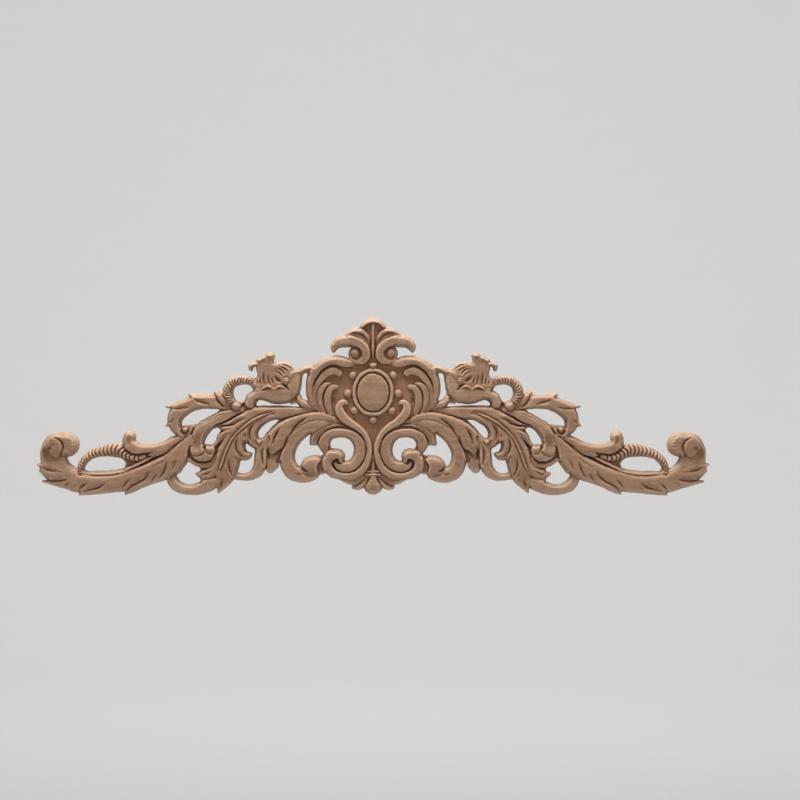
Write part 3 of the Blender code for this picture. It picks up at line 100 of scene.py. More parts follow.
TROUGH_WIDTH, TROUGH_DEPTH = 3.2, 0.32  # times the width and depth of the cut
SHARP = 48.0  # degrees between faces where an edge stays crisp
OUTSIDE = 3.0  # mm, thickness taken beside the carving when hollows are looked for
HOLLOW_WIDTHS = (1.0, 3.6)  # mm, reach of the narrow and the broad search
SPARE = 12.0  # mm of the other half that the search needs
FRONT, MOST_CUT = 0.5, 3  # mm, what counts as front, deepest cut that is told apart
GRAIN, FLECKS = (14, 120, 330), (260, 900, 1700)  # waves per m along x, y and z
CLOUDS, MOTTLES = 26.0, 340.0  # waves per m
MIX_INPUTS, MIX_OUTPUT = (0, 6, 7), 2  # share, first and second colour of a mix, and its colour
SHINE = 0.32  # specular level of the bare wood
LIGHT_WOOD = (0.272, 0.168, 0.106)
MIDDLE_WOOD = (0.244, 0.146, 0.088)
DARK_WOOD = (0.206, 0.118, 0.068)
# painted highlight: a lighter colour mixed onto the convex crests, standing in for light caught on the edges
CREST_HIGHLIGHT = (0.50, 0.36, 0.27, 1)
# painted shade: CUT_SHADE darkens the narrow cuts and HOLLOW_SHADE the broad hollows, by their depth
CUT_SHADE = (0.86, 0.67, 0.52, 1)
HOLLOW_SHADE = (0.93, 0.88, 0.83, 1)


def filled(stations):
    """The stations in full: what one of them leaves out is as in the one before."""
    full = [tuple(stations[0])]
    for station in stations[1:]:
        full.append((*station, *full[-1][len(station):]))
    return full


def spline(stations, gap=SAMPLE):
    """Points on a smooth curve through the stations, with every column carried along."""
    p = np.array(filled(stations), float)
    span = np.hypot(*np.diff(p[:, :2], axis=0).T)[:, None]
    at_station = np.r_[0, np.cumsum(span)]
    rise = np.diff(p, axis=0) / span
    slope = np.vstack([rise[:1], rise])
    if len(p) > 2:
        slope[1:-1] = (rise[:-1] * span[1:] + rise[1:] * span[:-1]) / (span[1:] + span[:-1])
        slope[0] = 1.5 * rise[0] - 0.5 * slope[1]
        slope[-1] = 1.5 * rise[-1] - 0.5 * slope[-2]
    at = np.linspace(0, at_station[-1], max(3, int(at_station[-1] / gap) + 2))
    i = np.clip(np.searchsorted(at_station, at, side="right") - 1, 0, len(p) - 2)
    h = span[i]
    u = (at[:, None] - at_station[i, None]) / h
    here = p[i] * (1 + 2 * u) * (1 - u) ** 2 + slope[i] * h * u * (1 - u) ** 2
    return here + p[i + 1] * u * u * (3 - 2 * u) + slope[i + 1] * h * u * u * (u - 1)


def near_box(points, line, reach):
    """The points that lie within reach of the line's box."""
    low, high = line[:, :2].min(0) - reach, line[:, :2].max(0) + reach
    return np.flatnonzero(((points > low) & (points < high)).all(1))


def nearest(points, line, reach):
    """The line's columns at the place closest to each point, and the distance across, left positive."""
    best = np.full(len(points), float(reach))
    place = np.zeros(len(points))
    side = np.ones(len(points))
    for first in range(0, len(line) - 1, STRETCH):
        some = near_box(points, line[first:first + STRETCH + 1], reach)
        for i in range(first, min(first + STRETCH, len(line) - 1)):
            ab = line[i + 1, :2] - line[i, :2]
            ap = points[some] - line[i, :2]
            t = np.clip(ap @ ab / (ab @ ab), 0, 1)
            gap = np.hypot(*(ap - t[:, None] * ab).T)
            closer = gap < best[some]
            to = some[closer]
            best[to] = gap[closer]
            place[to] = i + t[closer]
            side[to] = np.where(ab[0] * ap[closer, 1] < ab[1] * ap[closer, 0], -1, 1)
    i = np.minimum(place.astype(int), len(line) - 2)
    share = (place - i)[:, None]
    return line[i] * (1 - share) + line[i + 1] * share, best * side


def domed(u):
    """A rounded section: 1 in the middle, 0 at the edges."""
    foot = np.sqrt(CAP**2 - 1)
    return (np.sqrt(CAP**2 - np.clip(u * u, 0, 1)) - foot) / (CAP - foot)


def pillow(u):
    """A broad section, flatter in the middle."""
    return domed(np.abs(u) ** PILLOW)


def leaf_left(u):
    """A leaf's section: its ridge on the left, a long scooped slope down to the right."""
    short = domed((u - RIDGE) / (1 - RIDGE))
    long = LIP + (1 - LIP) * np.clip(1 - (RIDGE - u) / (1 + RIDGE), 0, 1) ** SCOOP
    return np.where(u > RIDGE, short, long)


def vee(u):
    """A cut with sloping sides."""
    return (1 - np.abs(u)) ** VEE


class Band:
    """A strip along a curve. Stations are (x, z, half width, crest thickness)."""

    def __init__(self, stations, edge=7.5, section=pillow, mode="over"):
        self.line = spline(stations)
        foot = edge if mode == "sink" else edge + SHALLOWER
        self.edge, self.section, self.mode = foot, section, mode

    def at(self, points):
        reach = self.line[:, 2].max() + AROUND
        near = near_box(points, self.line, reach)
        there, across = nearest(points[near], self.line, reach)
        half = np.maximum(there[:, 2], LEAST_HALF)
        u = np.clip(across / half, -1, 1)
        thick = self.edge + (there[:, 3] - self.edge) * self.section(u)
        return near, half - np.abs(across), thick


class Dome:
    """An oval boss, turned by an angle in degrees."""

    def __init__(self, x, z, rx, rz, crest, edge=6.5, turn=0, section=domed, mode="over"):
        self.centre, self.radii = np.array([[x, z]], float), np.array([rx, rz])
        self.edge, self.crest, self.section, self.mode = edge, crest, section, mode
        self.turn = np.radians(turn)

    def at(self, points):
        near = near_box(points, self.centre, self.radii.max() + AROUND)
        c, s = np.cos(self.turn), np.sin(self.turn)
        local = (points[near] - self.centre) @ np.array([[c, -s], [s, c]])
        q = np.hypot(*(local / self.radii).T)
        thick = self.edge + (self.crest - self.edge) * self.section(np.clip(q, 0, 1))
        return near, (1 - q) * self.radii.min(), thick


class Plate:
    """A flat patch inside a closed smooth outline, rounded over towards its edge."""

    def __init__(self, outline, crest=0.0, edge=6.0, rounding=3.0, mode="over"):
        self.line = spline(np.c_[[*outline, outline[0]], np.zeros((len(outline) + 1, 2))])
        self.line[-1] = self.line[0]
        self.crest, self.edge, self.rounding, self.mode = crest, edge, rounding, mode

    def at(self, points):
        reach = self.rounding + AROUND
        near = near_box(points, self.line, reach)
        p = points[near]
        _, gap = nearest(p, self.line, reach)
        crossings = np.zeros(len(p), int)
        for (x0, z0), (x1, z1) in zip(self.line[:-1, :2], self.line[1:, :2]):
            spans = (z0 > p[:, 1]) != (z1 > p[:, 1])
            if z0 != z1:
                crossings += spans & (p[:, 0] < x0 + (x1 - x0) * (p[:, 1] - z0) / (z1 - z0))
        inside = np.where(crossings % 2 == 1, np.abs(gap), -np.abs(gap))
        slope = domed(1 - np.clip(inside / self.rounding, 0, 1))
        return near, inside, self.edge + (self.crest - self.edge) * slope


def groove(stations):
    """A cut along a curve. Stations are (x, z, half width, depth)."""
    shallow = [(x, z, half, depth * GOUGE) for x, z, half, depth in filled(stations)]
    return Band(shallow, 0.0, vee, "sink")


def pit(x, z, rx, rz, depth, turn=0):
    """A small oval cut."""
    return Dome(x, z, rx, rz, depth, 0.0, turn, vee, "sink")


def hollow(q):
    """The section of a wide shallow hollow."""
    return (1 - q * q) ** 2


def raised(stations, edge=8, section=pillow):
    """A strip that only adds to what it lies on."""
    return Band(stations, edge, section, "rise")


def grooves(lines):
    """A cut along each of the curves."""
    return [groove(stations) for stations in lines]


def notches(stations, places, lean, half, depth, bow):
    """Bowed cuts across a band, at shares of its length. Lean shifts them to one side."""
    line = spline(stations)
    cuts = []
    for share in places:
        x, z, width, _ = line[int(share * (len(line) - 1))]
        i = min(int(share * (len(line) - 1)), len(line) - 2)
        along = line[i + 1, :2] - line[i, :2]
        along /= np.hypot(*along)
        left = np.array([-along[1], along[0]])
        reach = width * NOTCH_REACH
        middle = np.array([x, z]) + left * lean * width
        aside = left * reach * (1 - abs(lean))
        ends = (middle - aside, middle + along * bow, middle + aside)
        cuts.append(Band([(*end, half, depth) for end in ends], 0.0, vee, "sink"))
    return cuts


def relief(points, forms):
    """How far each point lies inside the outline, and the thickness of the board there."""
    inside = np.full(len(points), FAR_OUT)
    thick = np.zeros(len(points))
    for form in forms:
        near, depth, height = form.at(points)
        if form.mode == "cut":
            inside[near] = np.minimum(inside[near], -depth)
            continue
        covers = depth > 0
        if form.mode == "sink":
            thick[near[covers]] -= height[covers]
            continue
        free = (inside[near] < 0) & (depth > inside[near])
        blend = np.where(free, 1.0, np.clip(depth / BLEND, 0, 1))
        if form.mode == "rise":
            height = np.maximum(height, thick[near])
        thick[near] += (height - thick[near]) * blend
        inside[near] = np.maximum(inside[near], depth)
    return inside, thick


def from_edge(x, z, ends):
    """How far each point of a grid lies from the outline, whose short pieces are given by their ends."""
    step = x[1] - x[0]
    gaps = np.full((len(x), len(z)), EDGE_REACH)
    for a, b in ends:
        first = np.maximum((np.minimum(a, b) - EDGE_REACH - [x[0], z[0]]) // step, 0).astype(int)
        last = ((np.maximum(a, b) + EDGE_REACH - [x[0], z[0]]) // step).astype(int) + 2
        here = (slice(first[0], last[0]), slice(first[1], last[1]))
        along, up = x[here[0], None] - a[0], z[None, here[1]] - a[1]
        ab = b - a
        share = np.clip((along * ab[0] + up * ab[1]) / (ab @ ab + NO_LENGTH), 0, 1)
        gaps[here] = np.minimum(gaps[here], np.hypot(along - share * ab[0], up - share * ab[1]))
    return gaps


def blurred(values, width):
    """The values of a grid, each averaged with its neighbours up to a few widths away."""
    reach = int(BELL * width) + 1
    weights = np.exp(-0.5 * (np.arange(-reach, reach + 1) / width) ** 2)
    weights /= weights.sum()
    for axis in (0, 1):
        ends = [(reach, reach) if k == axis else (0, 0) for k in (0, 1)]
        spread = np.pad(values, ends, mode="edge")
        length = values.shape[axis]
        values = sum(w * np.take(spread, range(k, k + length), axis) for k, w in enumerate(weights))
    return values


def surface(x, z, solid, thick, ends):
    """The thickness on a grid, with the edge eased down to the rim and everything rounded by the cutter."""
    ease = RIM + EDGE_SLOPE * from_edge(x, z, ends)
    near = np.clip(0.5 + (ease - thick) / (2 * EDGE_SOFT), 0, 1)
    soft = ease + (thick - ease) * near - EDGE_SOFT * near * (1 - near)
    soft = np.clip(soft, THINNEST, DEEPEST) * solid
    width = CUTTER / (x[1] - x[0])
    return blurred(soft, width) / np.maximum(blurred(solid.astype(float), width), LEAST_SHARE)


def shield():
    """The field behind the jewel, the oval jewel in its ring, and the beads round it."""
    ring = [(14.2 * np.sin(a), 16.4 * np.cos(a), 1.8, 10.8) for a in np.linspace(0, np.pi, 13)]
    beads = ((0, 20.2), (15.2, 12.7), (18.8, -1), (13.9, -13.6), (0, -20.4))
    return [
        Plate([(-9, 25), (12, 23), (28, 23), (41, 14), (45, 0), (41, -12), (24, -25), (6, -36), (-9, -46)],
            7.2, 6.8),
        Band(ring, 7),
        Dome(0, 0, 12.4, 14.7, 11.5, 9.8, section=pillow),
        *(Dome(x, z, 3.4, 3.4, 10.6, 8) for x, z in beads),
    ]


def finial():
    """The fan leaves at the top of the middle, between the two upper scrolls."""
    return [
        Plate([(-5, 50), (9.6, 48.4), (15, 45.5), (20, 41), (10, 34), (5, 22), (-5, 22)], 6.5, 6.5),
        Dome(0, 44.6, 9.6, 10, 8.5, 6.5),
        pit(4.4, 46.2, 2.4, 4.6, 1.5, -14),
        Band([(-8.3, 48.9, 1.3, 10.5), (-5, 51.9, 1.9, 11.5), (0, 53.1, 2, 12), (5, 51.9, 1.9, 11.5),
            (8.3, 48.9, 1.3, 10.5)], 8),
        raised([(0, 52, 2, 10.5), (0, 46, 1.5, 11), (0, 38, 1.5, 10.5), (0, 31, 1.7, 10), (0, 26, 1, 9)], 7,
            domed),
        raised([(3.4, 33.6, 1.2, 8.5), (5, 37.8, 1.9, 9.4), (8.4, 41.2, 2.2, 9.8), (12.6, 43),
            (16.4, 43, 1.6, 9.6), (18.6, 42, 0.8, 9)], 7),
        Band([(2.5, 35.6, 0.6, 8.5), (3.9, 40.4, 1.6, 10.5), (6.9, 43.8, 2.1, 11), (10.6, 45.7, 2.3, 11.5),
            (14.4, 45.9, 1.9), (17.4, 44.6, 1.4, 10.5), (19.4, 43.2, 0.6, 9)], 7),
        groove([(4.4, 38.6, 0.3, 0.6), (7.6, 42.2, 0.7, 1.8), (11.6, 44.2, 0.8, 2), (15.6, 44.4, 0.5, 1)]),
    ]


def top_scroll():
    """The open C at the top, with a bead in its eye."""
    return [
        Dome(13.4, 29, 5.2, 5.4, 8.6, 8.6),
        Plate([(20, 37), (21.6, 33.8), (24.4, 33.1), (27.4, 31.4), (29.3, 29.4), (30.8, 30.2), (31, 34),
            (27, 38)], 10, 7, 2),
        Band([(30.1, 30.5, 0.9, 9), (30.1, 33.6, 2, 10), (28, 36.1, 3.2, 11), (24.2, 37.8, 4.4, 12),
            (19.4, 38.2, 4.7, 12.5), (13.4, 37.6, 4), (8.4, 35.1, 3.8), (5.4, 30.6, 3.6),
            (5.6, 25.8, 3.6, 12), (9.6, 22.8, 2.5, 11), (14, 22.9, 1.7, 10), (16.7, 25.2, 1.1, 9.5),
            (17.4, 28.2, 0.6, 9)], 7),
        Dome(13.4, 29.3, 4.4, 4.4, 11.5, 7),
    ]


def side_scrolls():
    """The big C at the side of the jewel, and the three curls nested inside it."""
    return [
        Band([(12.6, 20.1, 0.5, 8), (16.5, 21.1, 2.7, 11), (22, 22.6, 4.2, 12), (28, 23.5, 4, 12.5),
            (34, 22.4, 3.9), (39.3, 19.4, 4), (43.4, 14.9, 4.1), (46.4, 9.5, 3.6, 12), (47.4, 3, 3.1, 11.5),
            (46.9, -3.5, 2.8, 11), (44.3, -9, 2.5, 10), (40.3, -12.8, 2.2, 9), (35.5, -15.8, 1.4, 8)], 7.5),
        Band([(25.2, 14.3, 2.8, 10.5), (29.6, 15.9, 3.3, 11), (34, 14.8, 3.5), (38, 11.4, 3.3),
            (41.2, 6.6, 2.9), (43.4, 0.5, 2.1, 10.5), (43.5, -6, 1.7, 10), (41.6, -11.6, 1.5, 9)], 7),
        Band([(32.4, 6.3, 1.5, 9.5), (34.9, 5.8, 2.2, 10.5), (37.8, 3.3, 2.6, 11), (39.5, -0.5, 2.7),
            (39.9, -5, 2.6, 10.5), (38.9, -10, 2.3, 10), (36.6, -15, 1.7, 9)], 7),
        Band([(27.4, 3.9, 2, 9.5), (30.6, 3.2, 2.8, 10.5), (33.2, 0, 3.1), (34.1, -5.5),
            (33.5, -11, 2.9, 10), (31.8, -16, 2.2, 9)], 7),
        groove([(24, 18.9, 0.3, 0.4), (28, 20.3, 0.8, 2.5), (32, 19.9, 0.9, 3.2), (37, 16.9, 1, 3.5),
            (41.4, 12, 0.9, 3), (44, 6.8, 0.7, 2), (45, 2.5, 0.3, 0.3)]),
        pit(29.2, -6, 1.6, 3.6, 1.8, 8),
    ]


def heart_scroll():
    """The hooked strap that runs down from the jewel and rolls up into the lower volute."""
    strap = [(18.8, -9, 1, 9.5), (20.5, -7.7, 1.9, 10.5), (22.9, -7.7, 2.6, 11), (25, -10.2, 3.3, 11.5),
        (24.9, -14.2, 3.8, 12), (21.9, -18.8, 3.7), (16.9, -22.8, 3.2), (11, -26.6, 2.8), (6.4, -31.2, 2.5),
        (3.6, -37.2), (2.7, -43, 2.4), (3.8, -50, 2.8), (6.9, -56.4, 3.1), (11.9, -60.9, 3.3), (18.2, -62.7),
        (24.6, -62.1, 3), (29.8, -60.2, 3.5, 12.5), (33.7, -56, 4.1, 13), (33.9, -51, 4.3), (31.2, -47, 4.4),
        (27, -46, 4.2), (24, -48.4, 3.1, 12.5), (24.1, -51, 2.2, 11.5)]
    ring = [(35.8, -44, 2.8, 9.5), (37, -40, 4.2, 10.5), (35, -34.4, 4.6, 11), (30, -30.8, 3.9, 11.5),
        (24, -30.2, 3.8), (18, -31.4, 4.2), (12.8, -34.8, 4.8), (10.1, -40, 5), (10.1, -45.6),
        (12.6, -51, 4.9), (17.4, -54.8, 4.6), (22.6, -55.9, 3.9, 11), (26.6, -55, 2.7),
        (28.2, -53, 1.6, 10.5)]
    return [
        Band([(0, -38, 3, 7), (4, -46, 5), (3, -56, 6)], 6),
        Band([(3, -44, 3, 7.5), (8, -53), (14, -58.5), (24, -60)], 7),
        Dome(27.5, -52, 6, 6, 8.5, 8.5),
        Plate([(33, -56), (38, -50), (42, -55), (40, -61), (36.2, -60.4)], 8, 7, 2),
        Band(ring, 8),
        Band(strap, 8),
        *grooves([
            [(24, -58.9, 0.3, 0.6), (28.2, -56.9, 0.8, 2.5), (30.3, -54, 0.9, 3.5), (30.1, -51.4),
                (28, -50.2, 0.8, 3), (26.2, -50.8), (26, -52.6, 0.7, 2)],
            [(22.4, -50.6, 0.4, 1), (24, -52.4, 0.8, 2.5), (25.8, -53.4, 0.6, 1.5)],
        ]),
    ]


def shell():
    """The ribbed shell hanging at the foot of the middle."""
    return [
        Band([(4, -60, 2, 9), (8.4, -64.2, 2.5, 10), (13.4, -66.8, 2.3), (18.4, -66.4, 2),
            (23.6, -64.4, 1.4, 9)], 7),
        Band([(3, -61, 1.6, 9.5), (6.2, -66.6, 2.5, 10.5), (10.2, -69.8, 2.6), (14.4, -70.6, 1.7, 9.5)],
            7.5),
        Band([(0, -60, 2.6, 10.5), (0, -66, 4.6, 11.5), (0, -68.5, 7.6, 12)], 8),
        *grooves([
            [(2.6, -62.4, 0.6, 1.5), (4.5, -67, 0.9, 3), (7.6, -72, 0.8, 2)],
            [(4, -62, 0.4, 1), (7.8, -66.2, 0.8, 2.5), (12, -69.2), (16.4, -70.4, 0.5, 1.5)],
        ]),
        raised([(0, -48, 1.2, 9), (0, -57, 1.8, 10)], 7, domed),
        Band([(-5, -58.8, 1.1, 11), (4.4, -58.6, 1.1, 10.5)], 7.5, domed),
        Band([(-5, -61.5, 1.2, 11.5), (5.2, -61.1, 1.1, 11)], 7.5, domed),
    ]


def flower():
    """The fluted flower that rises from a smooth cupped leaf."""
    cup_rims = ([(63.4, 1, 0.5, 12.5), (66, 3.4, 0.8, 13), (69.6, 4.4, 0.9), (72.4, 3.3, 0.8),
        (73.9, 2, 0.5, 12.5)], [(73.9, 2, 0.5, 12.5), (76, 3.7, 0.8, 13), (78.8, 4.4, 0.9), (81.8, 3, 0.8),
        (84, 1, 0.5, 12.5)], [(84, 1, 0.5, 12), (86, 1.8, 0.7, 12.5), (88.6, 1.2, 0.8), (91, -1, 0.6, 12)])
    slots = (((61.8, 17.6), (64.8, 19.9), (70.6, 20.7)), ((64.4, 16), (66.9, 18), (70.8, 19.3)),
        ((66.4, 14.2), (68.6, 16.4), (72, 17.6)), ((68.2, 12.4), (70.3, 14.4), (73.4, 15.8)), ((74.8, 6.8),
        (75.5, 8.9), (75.9, 11)), ((77.6, 6.4), (78.3, 9.3), (78.5, 12.8)), ((81.2, 6.4), (81.8, 9.6),
        (82, 14.4)), ((83.8, 6.2), (84.4, 8.4), (84.8, 11.6)), ((86.3, 6.4), (86.6, 8.2), (86.6, 10.2)))
    return [
        Plate([(60, 13), (61.2, 20.2), (65, 22.4), (70, 22.6), (75.4, 22.6), (80, 23.4), (86, 22.4),
            (87, 17.4), (86.8, 13), (88.8, 9.8), (91.5, 7), (89, 1), (75, 0), (62, 1)], 10, 6.5, 3.5),
        Plate([(73.6, 27), (74.6, 29), (77, 29.9), (79.6, 28.8), (81.6, 26.8), (84.2, 26.3), (86.6, 24.4),
            (87.6, 22), (87, 15), (84, 8), (78, 10), (75.4, 16), (74.8, 22.6)], 9.6, 8.5, 1.5, "rise"),
        Dome(77, 27.4, 3.3, 2.4, 11.6, 8, mode="rise"),
        Dome(81.6, 25.6, 2.6, 1.8, 11, 8, -24, mode="rise"),
        Dome(85, 24, 2.8, 1.9, 11, 8, -20, mode="rise"),
        *(groove([(*foot, 0.6, 2), (*middle, 0.8, 2.4), (*top, 0.4, 0.8)]) for foot, middle, top in slots),
        pit(71.2, 9.6, 3.9, 1.8, 3.2, 38),
        Band([(86.2, 20.6, 1.6, 9.5), (89.2, 20.9, 1.9, 10.5), (91.5, 19.4), (91.5, 17.2, 1.5, 9.5)], 6.5),
        Band([(58.2, 14.4, 2.6, 10), (58.5, 11, 4.5, 10.5), (59.4, 4.2, 5.6, 11.3), (63, -1.2, 5.9, 11.8),
            (69.5, -2.3, 6.5, 12), (77, -2.1, 6), (83.5, -2.3, 4.2), (88.3, -3, 4.6), (91.3, -5.7, 4.7),
            (91.7, -8.2, 4.3)], 7, pillow),
        *(raised(stations, 10.5) for stations in cup_rims),
        groove([(62.8, 1.6, 0.5, 1.5), (65.2, 3.9, 0.9, 4), (68.2, 5.6, 0.6, 2)]),
        raised([(56.6, 15.8, 1.6, 10), (59.4, 14.9, 1.8, 10.8), (61.2, 12.8, 1.8, 11), (62.2, 10.6, 1.4)],
            9.5),
        Dome(65, 8.6, 3.2, 3.2, 11.5, 9),
        *(groove([(63.4, z, 0.3, 0.5), (65.4, z + 0.5, 0.5, 1),
            (67.4, z, 0.3, 0.5)]) for z in (7.4, 9, 10.6)),
        groove([(55.2, -0.2, 0.4, 1), (58, -3, 0.8, 2.2), (60.8, -5.4), (63, -7, 0.4, 1)]),
        Plate([(43, 18.5), (49, 19.8), (56, 17), (61, 15), (58, 10), (54.4, 8), (53.2, 12.6), (50.2, 15.2),
            (47.6, 14.4), (44.4, 14)], 9.6, 7.5, 1, "rise"),
        raised([(43.5, 18.4, 1.7, 10), (47.5, 18.2, 2, 10.5), (51, 17.6, 2.1), (55, 15.9, 2),
            (58.4, 15.1, 1.7, 10), (60.6, 14.6, 1.2, 9.5)], 7.5),
        raised([(47.6, 12.6, 1, 9), (48.4, 15, 1.3, 9.5), (50.6, 15.9, 1.5), (53.2, 14.6, 1.4),
            (54.8, 11, 1.2, 9)], 6),
    ]


def stalk():
    """The short stalk that ties the big C to the flower's cup."""
    return [
        Plate([(49, -12), (54, -12), (55.4, -10.2), (56.6, -8.5), (62, -8.3), (62, -5), (60, 3), (56, 4),
            (54.4, -2), (47.6, -8.2)], 8, 7, 1.2),
        Band([(41.5, -13.7, 0.5, 8), (46.5, -11.8, 1.7, 9.5), (50.5, -9.4, 2.6, 10.5), (54.2, -6.8, 2.7),
            (56, -3.6, 1.5, 10)], 7.5),
    ]


UPPER_ROPE = [(89.5, 6.6, 3.2, 9), (93, 8.4, 3.4, 10.5), (98, 8.9, 3.5, 11), (102.5, 8.5, 3.7, 11.5),
    (106.2, 6, 3.8), (108.4, 2, 3.9, 12), (108.4, -2.3, 3.8), (106.8, -5.9, 3.5), (104.2, -8.8, 3, 11.5)]
LOWER_ROPE = [(171.4, -47.9, 2.5, 10.5), (176, -49, 2.9, 11), (181, -48.2, 3.1, 11.5), (186, -46, 3.9),
    (190.5, -43.7, 5), (196, -43.1, 4.9), (202, -43.8, 4.1), (208, -45.2, 3.7), (213, -48.1, 3.3),
    (216.9, -51.6, 2.8), (218.7, -55.4, 2.4, 11), (218.8, -60.2, 2, 10.5)]


def upper_rope():
    """The ribbed loop to the right of the flower, ending in a ball."""
    return [
        Band(UPPER_ROPE, 6.5, domed),
        *notches(UPPER_ROPE, np.linspace(0.08, 0.94, 15), -0.2, 0.7, 2.4, 1.2),
        Dome(102.4, -10.2, 4.3, 4.1, 12.5, 7),
        pit(97.2, -9.6, 1.3, 2.2, 3.5),
    ]


def lower_rope():
    """The ribbed arch on the arm, its ribs closing up towards the right."""
    return [
        Band(LOWER_ROPE, 6.5, domed),
        *notches(LOWER_ROPE, (0.045, 0.105, 0.165, 0.22, 0.27, 0.32, 0.372, 0.424, 0.476, 0.526, 0.576,
            0.624, 0.672, 0.718, 0.762, 0.804, 0.844, 0.882, 0.918, 0.952), 0, 0.6, 2.6, 1.4),
    ]


def first_leaf():
    """The leaf that leaves the jewel to the right, with the large lower scroll and a hanging lobe."""
    return [
        Band([(75, -43, 3, 8), (75.2, -50, 4.6, 8.5), (75.6, -54, 4.7, 9), (76.8, -57, 3.3)], 7),
        pit(71.6, -51.2, 1.3, 3.4, 2.8),
        Band([(25, -22, 1.5, 8.5), (33, -20.6, 4, 10.5), (42, -20.2, 5.8, 11), (52, -22, 6.2, 11.5),
            (62, -26, 7, 12), (69, -31, 7.8, 12.5), (73.4, -37.6, 7.8, 12), (75.3, -43.3, 3.8, 11),
            (75.3, -46.4, 0.8, 9)], 8, pillow),
        Band([(30, -22, 1, 9), (38, -23.6, 3.6, 11), (46, -26.6, 5.8, 11.5), (54, -31, 6), (60.2, -37, 5.4),
            (62.9, -44), (64.2, -51, 5.9), (60.6, -58.5, 6.2), (53, -61.4, 6), (45.8, -59.6)], 8),
        Dome(46, -54.8, 8.9, 8.6, 13, 10, section=domed),
        *grooves([
            [(54.6, -53.8, 0.6, 1.5), (52.8, -56.4, 1.1, 4), (50.8, -58.2, 1, 3.5), (48.4, -58.8, 0.4, 1)],
            [(51.2, -60.6, 0.3, 0.5), (54.4, -61.2, 0.7, 1.2), (57.6, -60.4, 0.3, 0.5)],
        ]),
        Band([(21, -25, 0.7, 9), (27, -24.6, 1.4, 10), (34, -26.4, 1.9, 10.5), (39.5, -29.6, 2.6, 11),
            (43.3, -33.5, 3.2), (44.4, -37.2, 3.2, 10.5), (44.4, -38.9, 2.9, 10)], 7, leaf_left),
        *grooves([
            [(49.7, -19.1, 0.4, 1), (53, -21.1, 1, 3), (56.7, -24, 1, 3.5), (59.6, -27.4, 0.9, 3),
                (61.4, -31, 0.4, 0.8)],
            [(69.4, -26.6, 0.4, 0.8), (71.8, -30, 1, 3), (73.8, -34.4, 0.9), (74.9, -38.8, 0.4, 0.8)],
            [(64.6, -33, 0.5, 1.5), (64.9, -36.6, 0.8, 2.5), (66.8, -40.8, 0.7, 1.8),
                (70.4, -44.2, 0.6, 1.5), (74.6, -47.2, 0.5, 1.2)],
            [(77.9, -41.4, 0.8, 2.5), (78.4, -45, 1, 3), (78, -49, 0.9, 2)],
        ]),
    ]


